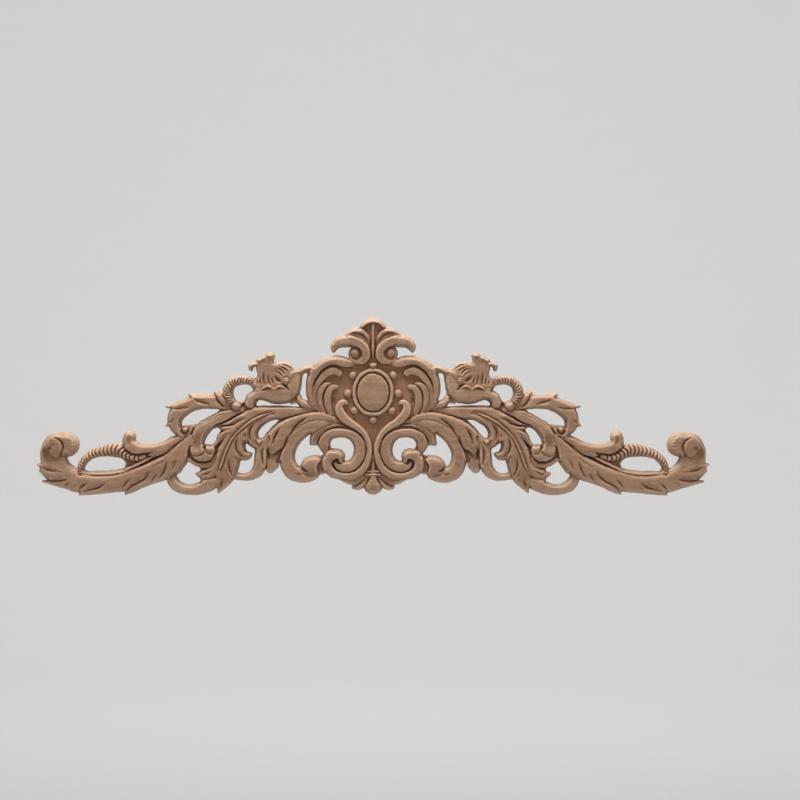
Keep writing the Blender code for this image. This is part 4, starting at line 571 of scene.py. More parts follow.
def second_leaf():
    """The long acanthus leaf across the middle of each side: midrib, curled lobes and pointed tips."""
    trunk = [
        Band([(79.8, -34, 3.2, 9.5), (83.2, -41, 4.3, 10.5), (83.8, -48, 4.5, 11), (84.5, -54, 4.7),
            (87.6, -59.4, 4.4), (92.5, -62.6, 3.1, 10.5), (99, -62.5, 3, 10), (105.5, -61.2, 3.2, 9)]),
        groove([(82, -41, 0.6, 1.5), (83, -45.4, 1, 3), (82.6, -50, 0.9), (82, -54.4, 0.4, 1)]),
        Band([(46, -13.2, 1.6, 8.5), (56, -13.8, 3.2, 10), (66, -14.6, 4.8, 10.5), (76, -15.2, 5.5, 11.5),
            (86, -17.5, 7.4, 12), (95, -24, 8.7, 12.5), (102, -33, 9.5), (107, -44, 9.4),
            (110, -55, 8.6, 12), (112, -64.5, 6.7, 11), (114.6, -71.5, 2.6, 9.5), (115.8, -74.6, 0.6, 8)], 8,
            pillow),
    ]
    left_lobes = [
        Band([(84.4, -20.6, 1, 11.5), (88.4, -25.4, 3, 12), (90.2, -31, 3.9), (89, -36.2, 3.9, 11.5),
            (85.9, -39.2, 2.8, 10.5), (83.4, -38.9, 1.9, 10)], 8),
        groove([(88.6, -23.6, 0.4, 0.8), (91.8, -28, 0.8, 2.5), (92.2, -32.6), (91.4, -36, 0.4, 1)]),
        Dome(85.2, -36.6, 2.8, 2.8, 12.5, 7.5),
        raised([(103.8, -41, 2.6, 12), (102.2, -46.6, 2.9, 11.5), (97.4, -48.6, 2.3, 10.5),
            (91.4, -46.9, 1, 9)]),
        raised([(97.8, -32, 1.6, 12), (99.9, -38.5, 2.6, 12.5), (99, -43.4, 2.4, 12), (95.6, -46, 2, 11),
            (92.2, -45.9, 1.4, 9.5)]),
        raised([(104.8, -48.6, 2.4, 11.5), (104, -54, 3.6), (103.8, -59, 3.1, 10), (105, -63, 1.4, 8.5)]),
        *grooves([
            [(95.3, -30.6, 0.4, 0.8), (95.6, -32.4, 0.8, 2.5), (95.4, -34, 0.4, 0.8)],
            [(101.2, -34, 0.4, 1), (102.4, -38.6, 0.8, 2.5), (102, -42.8, 0.9, 3), (98.6, -47.1, 0.5, 1.5)],
            [(103.8, -47, 0.4, 1), (101.4, -49.6, 0.8, 2)],
            [(107.4, -49.6, 0.4, 1), (107.8, -54, 0.9, 2.5), (107, -58), (105.6, -61.4, 0.5, 1.5)],
            [(109.6, -57.8, 0.4, 1), (109.4, -60, 0.6, 1.5), (108, -62.4, 0.4, 1)],
        ]),
    ]
    right_lobes = [
        raised([(93, -17.6, 1, 12.5), (99, -18.6, 2), (104, -21.2, 2.2), (108.6, -23.2, 1.8, 12),
            (113, -24.1, 1.1, 11), (117.6, -24.9, 0.4, 9)], 8.5, leaf_left),
        raised([(98, -23, 1.5, 12.5), (103, -26, 2.6), (109, -27.2, 2.4, 12), (114.2, -26.8, 1.4, 10.5)],
            8.5, leaf_left),
        raised([(104, -29.5, 1.5, 12.5), (109.4, -31, 3.1), (114, -33.6, 2.9, 11.5), (117, -37.4, 1.9, 10.5),
            (118.6, -40.4, 0.7, 9)], 8.5, leaf_left),
        raised([(110, -42, 2.4, 12.5), (114.5, -49, 3.8, 12), (118.6, -56.4, 4.2, 11.5),
            (124, -60.8, 4.4, 11), (129, -61.3, 3, 10), (133, -60.7, 0.7, 8)]),
        *grooves([
            [(95.6, -19.2, 0.4, 1), (100, -21, 0.9, 2.5), (104.6, -23.9, 0.9, 3), (109, -24.9, 0.8, 2.5),
                (114, -24.7, 0.4, 1)],
            [(99.6, -16.2, 0.5, 1), (105, -19.3, 0.8, 2.4), (111, -22.3), (118.4, -24.3, 0.6, 1.6)],
            [(110.8, -28, 0.4, 1.5), (114.2, -28.7, 0.7, 3)],
            [(110.6, -33.2, 0.4, 1), (113.2, -36.8, 0.9, 3), (116, -40.2), (118.2, -41.6, 0.5, 1)],
            [(114.8, -42.8, 0.5, 1.5), (118, -43.4, 0.7, 2)],
            [(117.8, -45.8, 0.6, 1.5), (118.4, -50, 0.9, 3), (120.8, -54.6), (125.4, -57.4, 0.7, 2.5)],
            [(121.5, -58.6, 0.4, 1), (124.6, -60.4, 0.7, 2), (127.6, -61.4, 0.4, 1)],
            [(123.8, -63.8, 0.4, 1), (126.8, -64.5, 0.6, 1.5)],
        ]),
    ]
    rib_right = [(76, -14.2), (86.8, -17.9), (91.7, -20.5), (96.7, -24), (101, -28), (104.6, -31.8),
        (107.4, -35.8), (109.8, -40.2), (111.8, -45), (113.6, -50.3), (115.4, -55.9), (116.8, -60)]
    rib_left = [(74, -15.6), (80.3, -17.3), (85, -19.4), (89.9, -22.1), (94.8, -25.8), (100, -30),
        (103.3, -33.6), (106.2, -38.7), (108.5, -44.1), (110.6, -49.8), (112.5, -55), (114.6, -60)]
    rib = [((a + c) / 2, (b + d) / 2, 1.1, 13.2) for (a, b), (c, d) in zip(rib_left, rib_right)]
    cuts = [groove([(x, z, 0.65, 1.6) for x, z in side[:-1]] + [(*side[-1], 0.2, 0.2)])
            for side in (rib_right, rib_left)]
    rib[0] = (*rib[0][:2], 0.3, 11.4)
    rib[-1] = (*rib[-1][:2], 0.3, 11)
    tail_cuts = grooves([
        [(113.1, -64.2, 0.4, 1), (113.3, -68, 0.8, 2), (114.4, -71.6, 0.4, 1)],
        [(116.8, -66.6, 0.4, 1), (118, -70.2, 0.7, 1.5)],
    ])
    return trunk + left_lobes + right_lobes + [Band(rib, 11, mode="rise")] + cuts + tail_cuts


def lower_hook():
    """The U that swings up under the arm from the foot of the long leaf."""
    return [
        Plate([(116, -62), (124, -62.5), (129.6, -64.4), (128, -68), (119, -70)], 10, 7.5, 3, "rise"),
        raised([(114, -65, 1.5, 10.5), (119, -67.6, 4, 11), (124.5, -69.5, 4.9, 11.5), (130.5, -71.5, 4.7),
            (137, -72.1, 4.3), (143, -71.1, 4.4), (148, -68.2, 4.6, 11), (150.6, -63, 4, 9.5),
            (150.8, -57, 3, 8)]),
    ]


def stem_curl():
    """The stem that crosses from the rope and rolls up over the long leaf."""
    return [
        Band([(118.6, -48, 2, 8.5), (121.6, -53.2, 2.6, 9.5), (127, -54.2, 2.5), (132.5, -53.2, 2.2),
            (137.8, -50, 1.8, 9)], 6.5),
        Band([(98, -13.6, 1.8, 8.5), (105.4, -15.6, 2.9, 10), (112.8, -18.1, 4.4, 11),
            (120.1, -21.3, 4.2, 11.5), (126.6, -26.2, 5.4, 12), (130.8, -33, 5.1), (132, -39.6, 5.6),
            (129.8, -45.2, 6), (124.6, -46.6, 5), (121.6, -43.6, 3.9)], 8),
        Dome(131.6, -38, 5.2, 8, 2.2, 0, 8, hollow, "sink"),
        Dome(121.9, -42.4, 4, 4.4, 12.4, 10),
        pit(126.3, -40.9, 1.3, 1.5, 3.5),
        *grooves([
            [(126, -41.6, 0.6, 1.5), (125.8, -43.6, 0.7, 1.8), (127.6, -46, 0.7, 1.6),
                (131, -47.5, 0.7, 1.4), (134.6, -46.9, 0.6, 1.2), (137, -44.4, 0.3, 0.5)],
            [(120.4, -50, 0.5, 1.5), (124.5, -51.7, 0.9, 2.5), (129, -52.1, 0.8, 2), (134, -51.3, 0.4, 0.8)],
            [(135, -39.8, 0.4, 1), (137.2, -40.9, 0.8, 2.5), (138.4, -44), (137.9, -48.4, 0.5, 1.2)],
            [(112, -15.8, 0.4, 1), (119.5, -19, 0.7, 1.6), (126.4, -22.8), (134, -28, 0.5, 1)],
        ]),
    ]


def arched_leaf():
    """The leaf that arches over to the right of the rope and hooks back round a bead."""
    return [
        Band([(108, -11.5, 2.4, 8.5), (115, -7.8, 5, 10.5), (122, -7, 5.5, 11.5), (130, -7, 5.7, 12),
            (138, -9.6), (144.8, -13.5, 6.4), (148.5, -20, 5.5), (147.3, -26.6, 4.4, 11.5),
            (143, -30.6, 2.7, 11), (138.4, -30.4, 1.8, 10.5), (135.8, -27.4, 1.4, 10)], 8, pillow),
        raised([(112.6, -8, 1.2, 10.5), (115.6, -3, 2.3), (117.4, -0.4, 1.9, 10)]),
        raised([(124, -6, 1.6, 11.5), (131, -3.5, 2.3, 11), (137.5, -1.6, 1, 10)], 8, leaf_left),
        raised([(140, -8, 2, 11.5), (148, -9.9, 2.6, 11), (154.6, -10.5, 0.9, 10)], 8, leaf_left),
        raised([(148, -19.6, 1.6, 11.5), (151.8, -22.8, 2.2, 10.5), (155.2, -25, 0.7, 9)]),
        *grooves([
            [(122, -9.4, 0.4, 1), (127, -7.6, 0.9, 2.5), (132.4, -5.8, 0.7, 1.5)],
            [(138.2, -11.2, 0.4, 1), (143, -11.9, 0.8, 2), (152, -12, 0.5, 1)],
            [(149.1, -19.8, 0.4, 1), (151.3, -22.2, 0.7, 2), (153.5, -24.3, 0.4, 1)],
            [(111.6, -10.8, 0.5, 1.5), (115, -7.8, 0.9, 3), (117.2, -4.2, 0.8, 2.5), (118.4, -1, 0.5, 1)],
        ]),
        Dome(140.6, -28.8, 3.6, 3.2, 7.5, 7.5),
        Dome(140.6, -27.3, 2.7, 2.7, 12, 7.5),
    ]


def arm():
    """The long leafy arm with its upper edge, knob and rolled-under tips."""
    spine = [(136.5, -33.5, 2.6, 10.5), (142, -41, 5, 11.5), (147.4, -49, 8.4, 12),
        (155.6, -55.4, 9.1, 12.5), (169, -61.2, 8), (180, -65.3), (190, -67.3, 6.9), (200, -68.4, 6.7),
        (211, -68.8, 7.4), (221, -66.9, 7.6), (231, -62.3, 8.2, 12), (237.6, -55.5, 9, 11),
        (239.6, -48, 9, 10), (239.4, -42, 8.6, 9.5)]
    fillet = [(161, -46, 0.4, 10), (168, -49.6, 1.2, 11), (176, -53.6, 1.6), (183, -56.8, 1.7), (190, -58.8),
        (198, -60), (206, -60.2), (213, -59.6, 1.6), (219, -58.6), (224.4, -56.8, 1.5), (229, -53.2),
        (231, -48.6, 1.4, 10.5)]
    tips = [
        [(140.6, -48, 1.6, 11), (143.6, -55, 3, 10.5), (147.6, -60.4, 2.2, 9)],
        [(163, -59, 1, 12), (174, -66.6, 4.2), (181, -72.2, 2.8, 10.5), (185.3, -75.4, 0.8, 8.5)],
        [(186, -65, 1, 12), (202, -71, 4.2), (212, -73.8, 2.6, 10.5), (219.5, -75.9, 0.8, 8.5)],
        [(211, -65, 1, 12), (227, -68, 4), (239, -67, 2.4, 10.5), (247, -66.2, 0.8, 9)],
        [(230, -62, 1, 12), (242, -60.6, 4.6, 11.5), (247.8, -58, 2.2, 10)],
        [(232, -58, 1, 12), (243, -56.2, 3.6, 11), (250.6, -53.6, 1, 9.5)],
    ]
    veins = [
        [(147, -50.4, 0.3, 0.6), (148.6, -54, 0.7, 1.6), (150, -58, 0.3, 0.6)],
        [(154, -52, 0.4, 1), (155.4, -57.4, 0.9, 2.5), (157.8, -61.6, 0.9, 2.2), (159.6, -63.6, 0.5, 1)],
        [(161.8, -61, 0.4, 1), (164, -64.4, 0.8, 2), (166.8, -68, 0.5, 1)],
        [(167.4, -59, 0.4, 1), (170, -63.6, 0.9, 2.5), (175.6, -67.4, 1, 2.8), (181, -70.2, 0.9, 2.5),
            (185.2, -74.2, 0.5, 1)],
        [(182.2, -65, 0.4, 1), (184.4, -67.6, 0.8, 2), (186.8, -71, 0.4, 1)],
        [(195, -71, 0.4, 1), (200, -74.4, 0.7, 1.5)],
        [(200.6, -67.6, 0.4, 1), (204.6, -70.6, 1, 2.8), (209.6, -72.2, 1, 2.6), (215.5, -73.4, 0.5, 1)],
        [(214.2, -67.8, 0.4, 1), (217, -69.8, 0.8, 2.2), (219.6, -72.8, 0.5, 1)],
        [(226, -67.6, 0.4, 1), (231.4, -70.2, 0.7, 2)],
        [(228.6, -64.6, 0.4, 1), (232, -65.6, 0.9, 2.6), (237, -65.8, 1), (244, -65.4, 0.5, 1)],
        [(236.4, -58.9, 0.4, 1), (241, -58.2, 0.9, 2.4), (246.8, -55.9, 0.5, 1)],
        [(240.4, -62.9, 0.3, 0.6), (243.6, -62.4, 0.6, 1.4), (246, -60.8, 0.3, 0.6)],
        [(151.4, -45.6, 0.3, 0.6), (157, -51.4, 0.5, 1), (164, -55.4, 0.3, 0.6)],
    ]
    crease = [(141.6, -34.6, 0.4, 1), (146, -36.6, 0.8, 1.8), (150.4, -41.2, 1, 2.4), (155, -45.4),
        (161, -48.2), (166, -50.8, 0.6, 1.4)]
    return [
        Band(spine, 8),
        *(raised(stations, 7.5) for stations in tips),
        *(groove(stations) for stations in veins),
        raised([(143, -33.6, 1.6, 10.5), (149, -37.4, 2.6, 11.5), (154, -41.4, 3.4, 12), (160, -44.2, 3.2),
            (165, -46, 2.4, 11.5), (167.4, -46.6, 1.2, 10.5)]),
        groove(crease),
        raised([(141.5, -33.4, 1.6, 10), (148, -35.4, 3.2, 11), (155, -39.2, 3.6, 11.5),
            (162, -41.2, 3.6, 12), (170, -41.8), (178, -41.2, 4.8), (182.8, -37.4), (182.3, -33, 4.6)]),
        pit(182.6, -36.6, 3, 4.6, 1.8, 10),
        Band([(173.6, -51.6, 1.4, 6.5), (178, -52.8, 2.2), (183.5, -53.6, 2.6)], 6),
        Band(fillet, 7.5),
    ]


def end_volute():
    """The rolled end of the arm: a big lobe with faint flutes, a small one, its eye and a cove."""
    flutes = [(222.2, -36, 228.4), (221.2, -38.4, 227.4), (221.4, -40.8, 227.6), (222.6, -43.2, 228.6)]
    return [
        raised([(243.4, -57, 3.4, 9), (245.6, -50, 3.4, 9.5), (245.7, -44, 3.4, 10.5),
            (243.4, -39.8, 4.4, 12.5), (239.4, -35.8, 5.2, 13.4), (233.4, -35.4, 5.5, 13.6)]),
        Dome(229.6, -38.9, 9.2, 9.2, 13.8, 8, section=pillow, mode="rise"),
        *(groove([(x, z, 0.3, 0.4), ((x + end) / 2, z + 0.3, 0.6, 0.8), (end, z, 0.3, 0.4)]) for x, z,
            end in flutes),
        Dome(236.6, -41, 5.8, 7.8, 13.4, 11.2, 14, mode="rise"),
        groove([(239.5, -33, 0.4, 0.6), (234.6, -34.8, 0.8, 2.5), (231.8, -38, 1, 3), (231.5, -42),
            (233.4, -46.6, 0.7, 2)]),
        Band([(245.6, -43.8, 4, 2.8), (245.4, -48, 4.4, 1.8), (243.8, -53, 4.2, 0.8), (242, -57, 3, 0.2)], 0,
            hollow, "sink"),
        pit(241.4, -41.8, 1.6, 1.8, 2, 30),
    ]


def openings():
    """Where the background is sawn away."""
    outlines = [
        [(25, -33.6), (20, -34.2), (17, -36.2), (15.2, -39.2), (14.6, -43.2), (15.6, -47.2),
            (18, -50.2), (21.3, -50.6), (20.9, -47), (22.6, -43.8), (26.5, -41.9), (31.3, -41.4),
            (32.1, -38.4), (30.7, -35.4)],
        [(46.8, -31), (50, -33.2), (54, -37), (57, -41.6), (58.7, -47.6), (57.8, -52), (55.2, -54.9),
            (54.2, -52.9), (52.9, -50.7), (50.9, -48.8), (48.4, -47.5), (45.4, -46.8), (42.2, -46.7),
            (39.6, -47.1), (37.3, -46.2), (39.6, -42.8), (41.4, -39.7), (47.3, -39.3), (47.5, -35)],
        [(70.3, -20.5), (75, -20.7), (80, -23.2), (84.2, -26.6), (86.1, -30.6), (85.4, -33.7),
            (83.2, -33.7), (80.2, -30.6), (76, -25.8)],
        [(95.3, -37.7), (92, -40), (88.7, -42.4), (88.9, -47), (89.8, -54), (92, -58.2),
            (95.4, -60.2), (101.3, -59.4), (100.2, -54.6), (99.2, -51), (94.6, -50.6), (91.4, -48),
            (90.6, -45.2), (94.2, -43.9), (95.7, -41)],
        [(116.5, -26.3), (114.2, -28), (116.6, -31.8), (118, -36.1), (119.7, -38.3), (124, -38.6),
            (126.3, -38.3), (125.6, -34.6), (122.8, -30.4), (119.6, -27.4)],
        [(138.3, -51.2), (133.2, -54.6), (129.2, -57), (131.2, -58.5), (133.2, -60.3),
            (131.6, -62.3), (129.5, -64.4), (131, -66.3), (133.4, -67.9), (137, -68.4), (142, -67.6),
            (145.8, -64.8), (147.4, -61.4), (145, -60.2), (142, -56.2)],
        [(114.4, -12.9), (120, -12.4), (127, -12.4), (134, -14), (139.6, -17.4), (142.8, -21),
            (143, -24.6), (139.4, -24.2), (135.2, -24.3), (127, -20.2), (120, -16.4)],
        [(91.3, 4.7), (95, 5.6), (100.4, 5.3), (103.6, 3.6), (104.4, 1.2), (102.6, -2.2),
            (99.4, -5.4), (97.2, -6.7), (95.2, -3.2), (93, 1.2)],
        [(50, 14.3), (52.4, 11.4), (53.7, 6), (54, 0), (53, -4.2), (49, -6.2), (50.2, -1.6),
            (50.8, 3.6), (50.3, 9)],
        [(60.2, -9.6), (63, -8.3), (68.6, -8.9), (73, -9.4), (66, -9.9)],
        [(75.6, -8.7), (79.7, -6.9), (83.6, -5.9), (86.6, -6.7), (87.1, -8.8), (81, -8.9)],
        [(185.3, -52.5), (187, -50.4), (192, -48.7), (199, -47.8), (206, -48.4), (211.6, -50.4),
            (215, -54), (215.8, -57.7), (208, -58.5), (199.9, -58.3), (192, -57.4), (186, -55.6)],
    ]
    return [Plate(outline, mode="cut") for outline in outlines]


def webs():
    """The board left between the forms, where it is neither carved high nor sawn away."""
    return [
        Plate([(18, -24), (34, -15), (46, -12.6), (60, -12), (84, -12), (96, -12.5), (108, -13.5),
            (122, -19), (134, -27), (143, -42), (142, -50), (129.4, -56.6), (129.4, -58), (121, -64),
            (112, -72), (106, -62.5), (96, -63), (86, -61), (80, -57), (72, -51), (62, -61), (50, -64),
            (37, -54), (30, -60), (14, -62), (8, -48)], 7, 6.5),
        Plate([(46, 17), (56, 17), (62, 12), (74, 6), (88, 3), (86, 0), (60, 0), (54, 6), (52, 14)], 7, 6.5),
        Plate([(88, 10), (92, 8), (90, 3), (86, 3)], 7, 6.5),
        Plate([(96, -5), (103, -10), (112, -9), (116, -13), (96, -14), (90, -11)], 7, 6.5),
        Plate([(107, -11), (110.4, -3), (113.4, -0.2), (117, -3), (115, -10)], 8, 7, 2),
        Plate([(129, -24), (134, -23.8), (139, -24.6), (141, -29), (136, -32), (131, -29)], 8, 7, 2),
        Plate([(134, -26), (143, -33), (156, -44), (170, -45), (186, -44), (186, -57), (172, -57),
            (150, -50), (138, -44)], 7, 6.5),
        Plate([(86.6, -13), (86.9, -9.8), (89.4, -9.4), (92, -12)], 7, 6.5),
    ]


def all_forms():
    """All forms in the order in which they lie over each other, the sawn openings last."""
    parts = (webs, shield, finial, side_scrolls, top_scroll, stalk, first_leaf, second_leaf, lower_hook,
             stem_curl, heart_scroll, shell, arched_leaf, upper_rope, flower, arm, lower_rope, end_volute,
             openings)
    return [form for part in parts for form in part()]


def drawn(forms, step):
    """The relief on a grid whose cells are cut along the outline: x, z, what is solid, thickness,
    the places of the corners, the triangles between them and the outline's pieces."""
    x, z = (np.arange(low, high, step) for low, high in zip(DRAWN_LOW, DRAWN_HIGH))
    points = np.array(np.meshgrid(x, z, indexing="ij")).reshape(2, -1).T
    inside, thick = relief(points, forms)
    level = inside.reshape(len(x), len(z))
    solid = level > 0
    number = np.full(level.shape, -1)
    number[solid] = np.arange(solid.sum())
    places = list(points[solid.ravel()])
    crossings = {}

    def crossing(a, b):
        if (a, b) not in crossings:
            share = np.clip(level[a] / (level[a] - level[b]), CORNER, 1 - CORNER)
            crossings[a, b] = len(places)
            places.append(np.array([x[a[0]], z[a[1]]]) * (1 - share) + np.array([x[b[0]], z[b[1]]]) * share)
        return crossings[a, b]

    corners = [solid[:-1, :-1], solid[1:, :-1], solid[1:, 1:], solid[:-1, 1:]]
    count = sum(c.astype(int) for c in corners)
    i, j = np.nonzero(count == 4)
    quads = np.c_[number[i, j], number[i + 1, j], number[i + 1, j + 1], number[i, j + 1]]
    front = [quads[:, [0, 1, 2]], quads[:, [0, 2, 3]]]
    rim = []
    for i, j in zip(*np.nonzero((count > 0) & (count < 4))):
        cell = [(i, j), (i + 1, j), (i + 1, j + 1), (i, j + 1)]
        loop = []
        for here, after in zip(cell, cell[1:] + cell[:1]):
            if solid[here]:
                loop.append((number[here], False))
            if solid[here] != solid[after]:
                loop.append((crossing(*((here, after) if solid[here] else (after, here))), True))
        front += [np.array([[loop[0][0], a[0], b[0]]]) for a, b in zip(loop[1:], loop[2:])]
        rim += [(a[0], b[0]) for a, b in zip(loop, loop[1:] + loop[:1]) if a[1] and b[1]]
    places, rim = np.array(places), np.array(rim)
    thick = surface(x, z, solid, thick.reshape(level.shape), places[rim])
    return x, z, solid, thick, places, np.vstack(front), rim


def half_solid(solid, thick, places, front, rim):
    """The right half, a shell open on the middle plane only: points (x, thickness, z) and triangles."""
    n = len(places)
    height = np.r_[thick[solid], np.full(n - solid.sum(), RIM)]
    x, z = places.T
    verts = np.vstack([np.c_[x, height, z], np.c_[x, 0 * height, z]])
    a, b = rim.T
    walls = np.vstack([np.c_[b, a, a + n], np.c_[b, a + n, b + n]])
    return verts, np.vstack([front, walls, front[:, ::-1] + n])


def put(name, data):
    """A new object in the scene."""
    held = bpy.data.objects.new(name, data)
    bpy.context.scene.collection.objects.link(held)
    return held


def thin_out(verts, faces, keep):
    """Collapse the mesh to about the number of triangles given."""
    mesh = bpy.data.meshes.new("half")
    mesh.from_pydata(verts.tolist(), [], faces.tolist())
    half = put("half", mesh)
    fewer = half.modifiers.new("fewer", "DECIMATE")
    fewer.ratio = keep / len(faces)
    result = half.evaluated_get(bpy.context.evaluated_depsgraph_get()).to_mesh()
    verts = np.array([v.co for v in result.vertices])
    faces = np.array([t.vertices for t in result.loop_triangles])
    bpy.data.objects.remove(half)
    return verts, faces


def whole(verts, faces):
    """Put the middle edge exactly on the middle plane and add the mirrored half."""
    sides = np.vstack([faces[:, [0, 1]], faces[:, [1, 2]], faces[:, [2, 0]]])
    _, first, times = np.unique(np.sort(sides, axis=1), axis=0, return_index=True, return_counts=True)
    middle = np.zeros(len(verts), bool)
    middle[sides[first[times == 1]]] = True
    verts[middle, 0] = 0
    twin = np.where(middle, np.arange(len(verts)), len(verts) + np.cumsum(~middle) - 1)
    mirrored = verts[~middle] * [-1, 1, 1]
    return np.vstack([verts, mirrored]), np.vstack([faces, twin[faces][:, ::-1]])


def eased(cut):
    """A wide shallow trough round a longer cut, as the gouge leaves beside it."""
    line = cut.line
    if np.hypot(*np.diff(line[:, :2], axis=0).T).sum() < TROUGH_LEAST:
        return []
    wide = Band(line[[0, -1]], 0.0, hollow, "sink")
    wide.line = line * [1, 1, TROUGH_WIDTH, TROUGH_DEPTH]
    return [wide]


def finer(forms):
    """The forms of the carving, with the troughs beside its cuts."""
    every = []
    for form in forms:
        if isinstance(form, Band) and form.section is vee:
            every += eased(form)
        every.append(form)
    return every


def between(table, i, j):
    """The values of a grid at places between its points."""
    a, b = i.astype(int), j.astype(int)
    u, v = i - a, j - b
    here = (table[a, b] * (1 - u) + table[a + 1, b] * u) * (1 - v)
    return here + (table[a, b + 1] * (1 - u) + table[a + 1, b + 1] * u) * v


def uneven(points, gap, seed, height):
    """Smooth random values up to the height, about gap apart."""
    at = (points - MARKED_LOW) / gap
    table = np.random.default_rng(seed).uniform(-1, 1, [int(size / gap) + 3 for size in MARKED_SIZE])
    share = at % 1
    return between(table, *(at - share + share * share * (3 - 2 * share)).T) * height


def hollows(verts, x, z, solid, thick):
    """How deep each point lies in a narrow cut, and in a broad hollow, in mm."""
    step = x[1] - x[0]
    board = np.where(solid, thick, OUTSIDE)
    spare = int(SPARE / step)
    board = np.vstack([board[spare:0:-1], board])
    i = np.abs(verts[:, 0]) / step + spare
    j = (verts[:, 2] - z[0]) / step
    return [between(blurred(board, width / step), i, j) - verts[:, 1] for width in HOLLOW_WIDTHS]


def wood():
    """Pale pinkish wood: long grain and short flecks, with painted shade in the cuts and hollows and a
    painted highlight on the crests.
    """
    made = bpy.data.materials.new("carved_wood")
    made.use_nodes = True
    nodes, links = made.node_tree.nodes, made.node_tree.links
    shader = nodes["Principled BSDF"]

    def feed(socket, value):
        if isinstance(value, bpy.types.NodeSocket):
            links.new(value, socket)
        else:
            socket.default_value = value

    def node(kind, settings=(), **inputs):
        new = nodes.new(kind)
        for name, value in dict(settings).items():
            setattr(new, name, value)
        for name, value in inputs.items():
            feed(new.inputs[name], value)
        return new

    def noise(vector, scale, detail, roughness):
        return node("ShaderNodeTexNoise", Vector=vector, Scale=scale, Detail=detail,
                    Roughness=roughness).outputs[0]

    def carved(name):
        return node("ShaderNodeAttribute", {"attribute_name": name}).outputs["Fac"]

    def ramp(value, stops):
        """Colours by value, from pairs of value and colour."""
        new = node("ShaderNodeValToRGB", Fac=value)
        points = new.color_ramp.elements
        while len(points) < len(stops):
            points.new(0.5)
        for point, (place, colour) in zip(points, stops):
            point.position = place
            point.color = colour if len(colour) == 4 else (*colour, 1)
        return new.outputs["Color"]

    def mixed(kind, share, first, second):
        new = node("ShaderNodeMix", {"data_type": "RGBA", "blend_type": kind})
        for place, value in zip(MIX_INPUTS, (share, first, second)):
            feed(new.inputs[place], value)
        return new.outputs[MIX_OUTPUT]

    place = node("ShaderNodeTexCoord").outputs["Object"]
    along = node("ShaderNodeMapping", Vector=place, Scale=GRAIN).outputs[0]
    fleck = node("ShaderNodeMapping", Vector=place, Scale=FLECKS).outputs[0]
    grain = noise(along, 1.0, 5.0, 0.6)
    flecks = noise(fleck, 1.0, 3.0, 0.6)
    cloud = noise(place, CLOUDS, 3.0, 0.55)
    mottle = noise(place, MOTTLES, 3.0, 0.6)
    tone = ramp(grain, [(0.30, LIGHT_WOOD), (0.50, MIDDLE_WOOD), (0.72, DARK_WOOD)])
    for share, pattern, low, dark, high, light in (
        (0.55, cloud, 0.34, (0.86, 0.80, 0.76), 0.66, (1.08, 1.06, 1.05)),
        (0.6, mottle, 0.32, (0.84, 0.80, 0.77), 0.68, (1.14, 1.14, 1.14)),
        (0.5, flecks, 0.36, (0.74, 0.66, 0.60), 0.52, (1.0, 1.0, 1.0)),
    ):
        tone = mixed("MULTIPLY", share, tone, ramp(pattern, [(low, dark), (high, light)]))
    # painted shade: darker the deeper a point lies in a narrow cut or a broad hollow
    painted_cut_shade = ramp(carved("cut"), [(0.03, (0, 0, 0)), (0.55, (1, 1, 1))])
    painted_hollow_shade = ramp(carved("hollow"), [(0.05, (0, 0, 0)), (0.8, (0.8, 0.8, 0.8))])
    # painted highlight: lighter where the surface stands above its surroundings
    painted_highlight = ramp(carved("crest"), [(0.1, (0, 0, 0)), (0.9, (0.5, 0.5, 0.5))])
    tone = mixed("MULTIPLY", painted_cut_shade, tone, CUT_SHADE)
    tone = mixed("MULTIPLY", painted_hollow_shade, tone, HOLLOW_SHADE)
    tone = mixed("MIX", painted_highlight, tone, CREST_HIGHLIGHT)
    links.new(tone, shader.inputs["Base Color"])
    rough = ramp(grain, [(0.3, (0.52,) * 3), (0.7, (0.68,) * 3)])
    links.new(rough, shader.inputs["Roughness"])
    shader.inputs["Specular IOR Level"].default_value = SHINE
    rise = node("ShaderNodeBump", Strength=0.35, Distance=0.0003, Height=flecks).outputs[0]
    rise = node("ShaderNodeBump", Strength=0.25, Distance=0.0006, Height=grain, Normal=rise).outputs[0]
    links.new(rise, shader.inputs["Normal"])
    return made


def carving():
    """The whole carving as one mesh, slightly uneven as tools leave it."""
    grid = drawn(finer(all_forms()), GRID)
    verts, faces = thin_out(*half_solid(*grid[2:]), FACES_HALF)
    verts, faces = whole(verts, faces)
    cut, hollow = hollows(verts, *grid[:4])
    front = verts[:, 1] > FRONT
    flat = verts[:, [0, 2]]
    verts[:, 1] += front * (uneven(flat, *FINE_MARKS) + uneven(flat, *BROAD_MARKS))
    verts[:, 0] += uneven(flat, *EDGE_X_MARKS)
    verts[:, 2] += uneven(flat, *EDGE_Z_MARKS)
    verts[:, 1] = np.minimum(verts[:, 1], DEEPEST)
    low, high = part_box("carved_applique")
    verts *= [(high.x - low.x) / np.ptp(verts[:, 0]), -MM, MM]
    mesh = bpy.data.meshes.new("carving")
    mesh.from_pydata(verts.tolist(), [], faces.tolist())
    mesh.shade_smooth()
    mesh.set_sharp_from_angle(angle=np.radians(SHARP))
    # depths that the wood material turns into painted shade in cuts and hollows and a painted highlight on
    # crests
    for name, values in (("cut", cut), ("hollow", hollow), ("crest", -cut)):
        kept = mesh.attributes.new(name, "FLOAT", "POINT")
        kept.data.foreach_set("value", (np.clip(values, 0, MOST_CUT) * front).astype(np.float32))
    mesh.materials.append(wood())
    return put("carving", mesh)


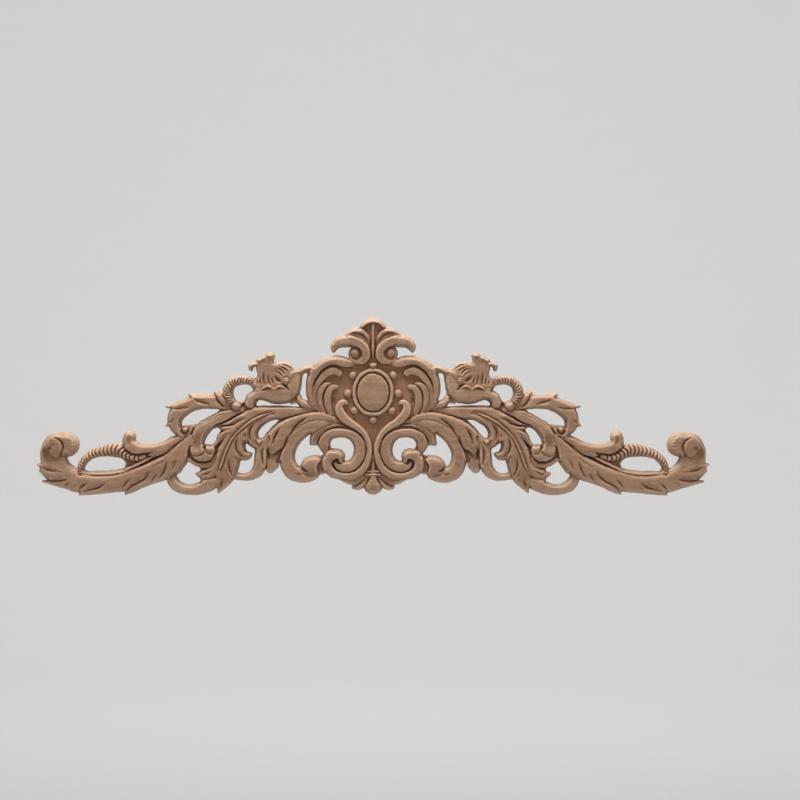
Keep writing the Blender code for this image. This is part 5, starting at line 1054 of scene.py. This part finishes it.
def studio():
    """A pale floor that curves up into a wall all round, far behind the carving and the camera."""
    turn = np.linspace(0, np.pi / 2, BEND_STEPS + 1)
    profile = [(FLOOR_RING, 0), (STUDIO - BEND, 0)]
    profile += [(STUDIO - BEND + BEND * np.sin(a), BEND - BEND * np.cos(a)) for a in turn[1:]]
    profile += [(STUDIO, STUDIO_TOP)]
    n = ROUND_STEPS
    around = np.linspace(0, 2 * np.pi, n + 1)[:-1]
    verts = [(0, 0, FLOOR)]
    verts += [(r * np.cos(t), r * np.sin(t), FLOOR + z) for r, z in profile for t in around]
    faces = [(0, 1 + k, 1 + (k + 1) % n) for k in range(n)]
    for ring in range(len(profile) - 1):
        first = 1 + n * ring
        for k in range(n):
            after = (k + 1) % n
            faces.append((first + k, first + n + k, first + n + after, first + after))
    mesh = bpy.data.meshes.new("floor")
    mesh.from_pydata(verts, [], faces)
    mesh.shade_smooth()
    paint = bpy.data.materials.new("floor")
    paint.use_nodes = True
    shader = paint.node_tree.nodes["Principled BSDF"]
    shader.inputs["Base Color"].default_value = FLOOR_PAINT
    shader.inputs["Roughness"].default_value = FLOOR_ROUGH
    mesh.materials.append(paint)
    floor = put("floor", mesh)


def lamp(name, place, aim, size, power, colour):
    """A soft square light that isn't seen itself."""
    light = bpy.data.lights.new(name, "AREA")
    light.size, light.energy, light.color = size, power, colour
    held = put(name, light)
    held.location = place
    held.rotation_euler = (Vector(aim) - Vector(place)).to_track_quat("-Z", "Y").to_euler()
    held.visible_camera = False


def lights():
    """Even light from all round, and the lamps."""
    sky = bpy.data.worlds.new("studio")
    sky.use_nodes = True
    sky.node_tree.nodes["Background"].inputs["Color"].default_value = (1, 1, 1, 1)
    sky.node_tree.nodes["Background"].inputs["Strength"].default_value = SKY
    bpy.context.scene.world = sky
    for settings in LAMPS:
        lamp(*settings)


def camera():
    """Straight in front, a long way off."""
    lens = bpy.data.cameras.new("camera")
    lens.lens = lens.sensor_width * CAMERA_AWAY / FIELD
    lens.clip_end = FAR_CLIP
    held = put("camera", lens)
    held.location = (CAMERA_X, -CAMERA_AWAY, CAMERA_Z)
    held.rotation_euler = (np.pi / 2, 0, 0)
    bpy.context.scene.camera = held


def main():
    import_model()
    piece = carving()
    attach(piece, "root")
    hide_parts("carved_applique")
    studio()
    lights()
    camera()
    bpy.context.scene.view_settings.view_transform = "Standard"


main()
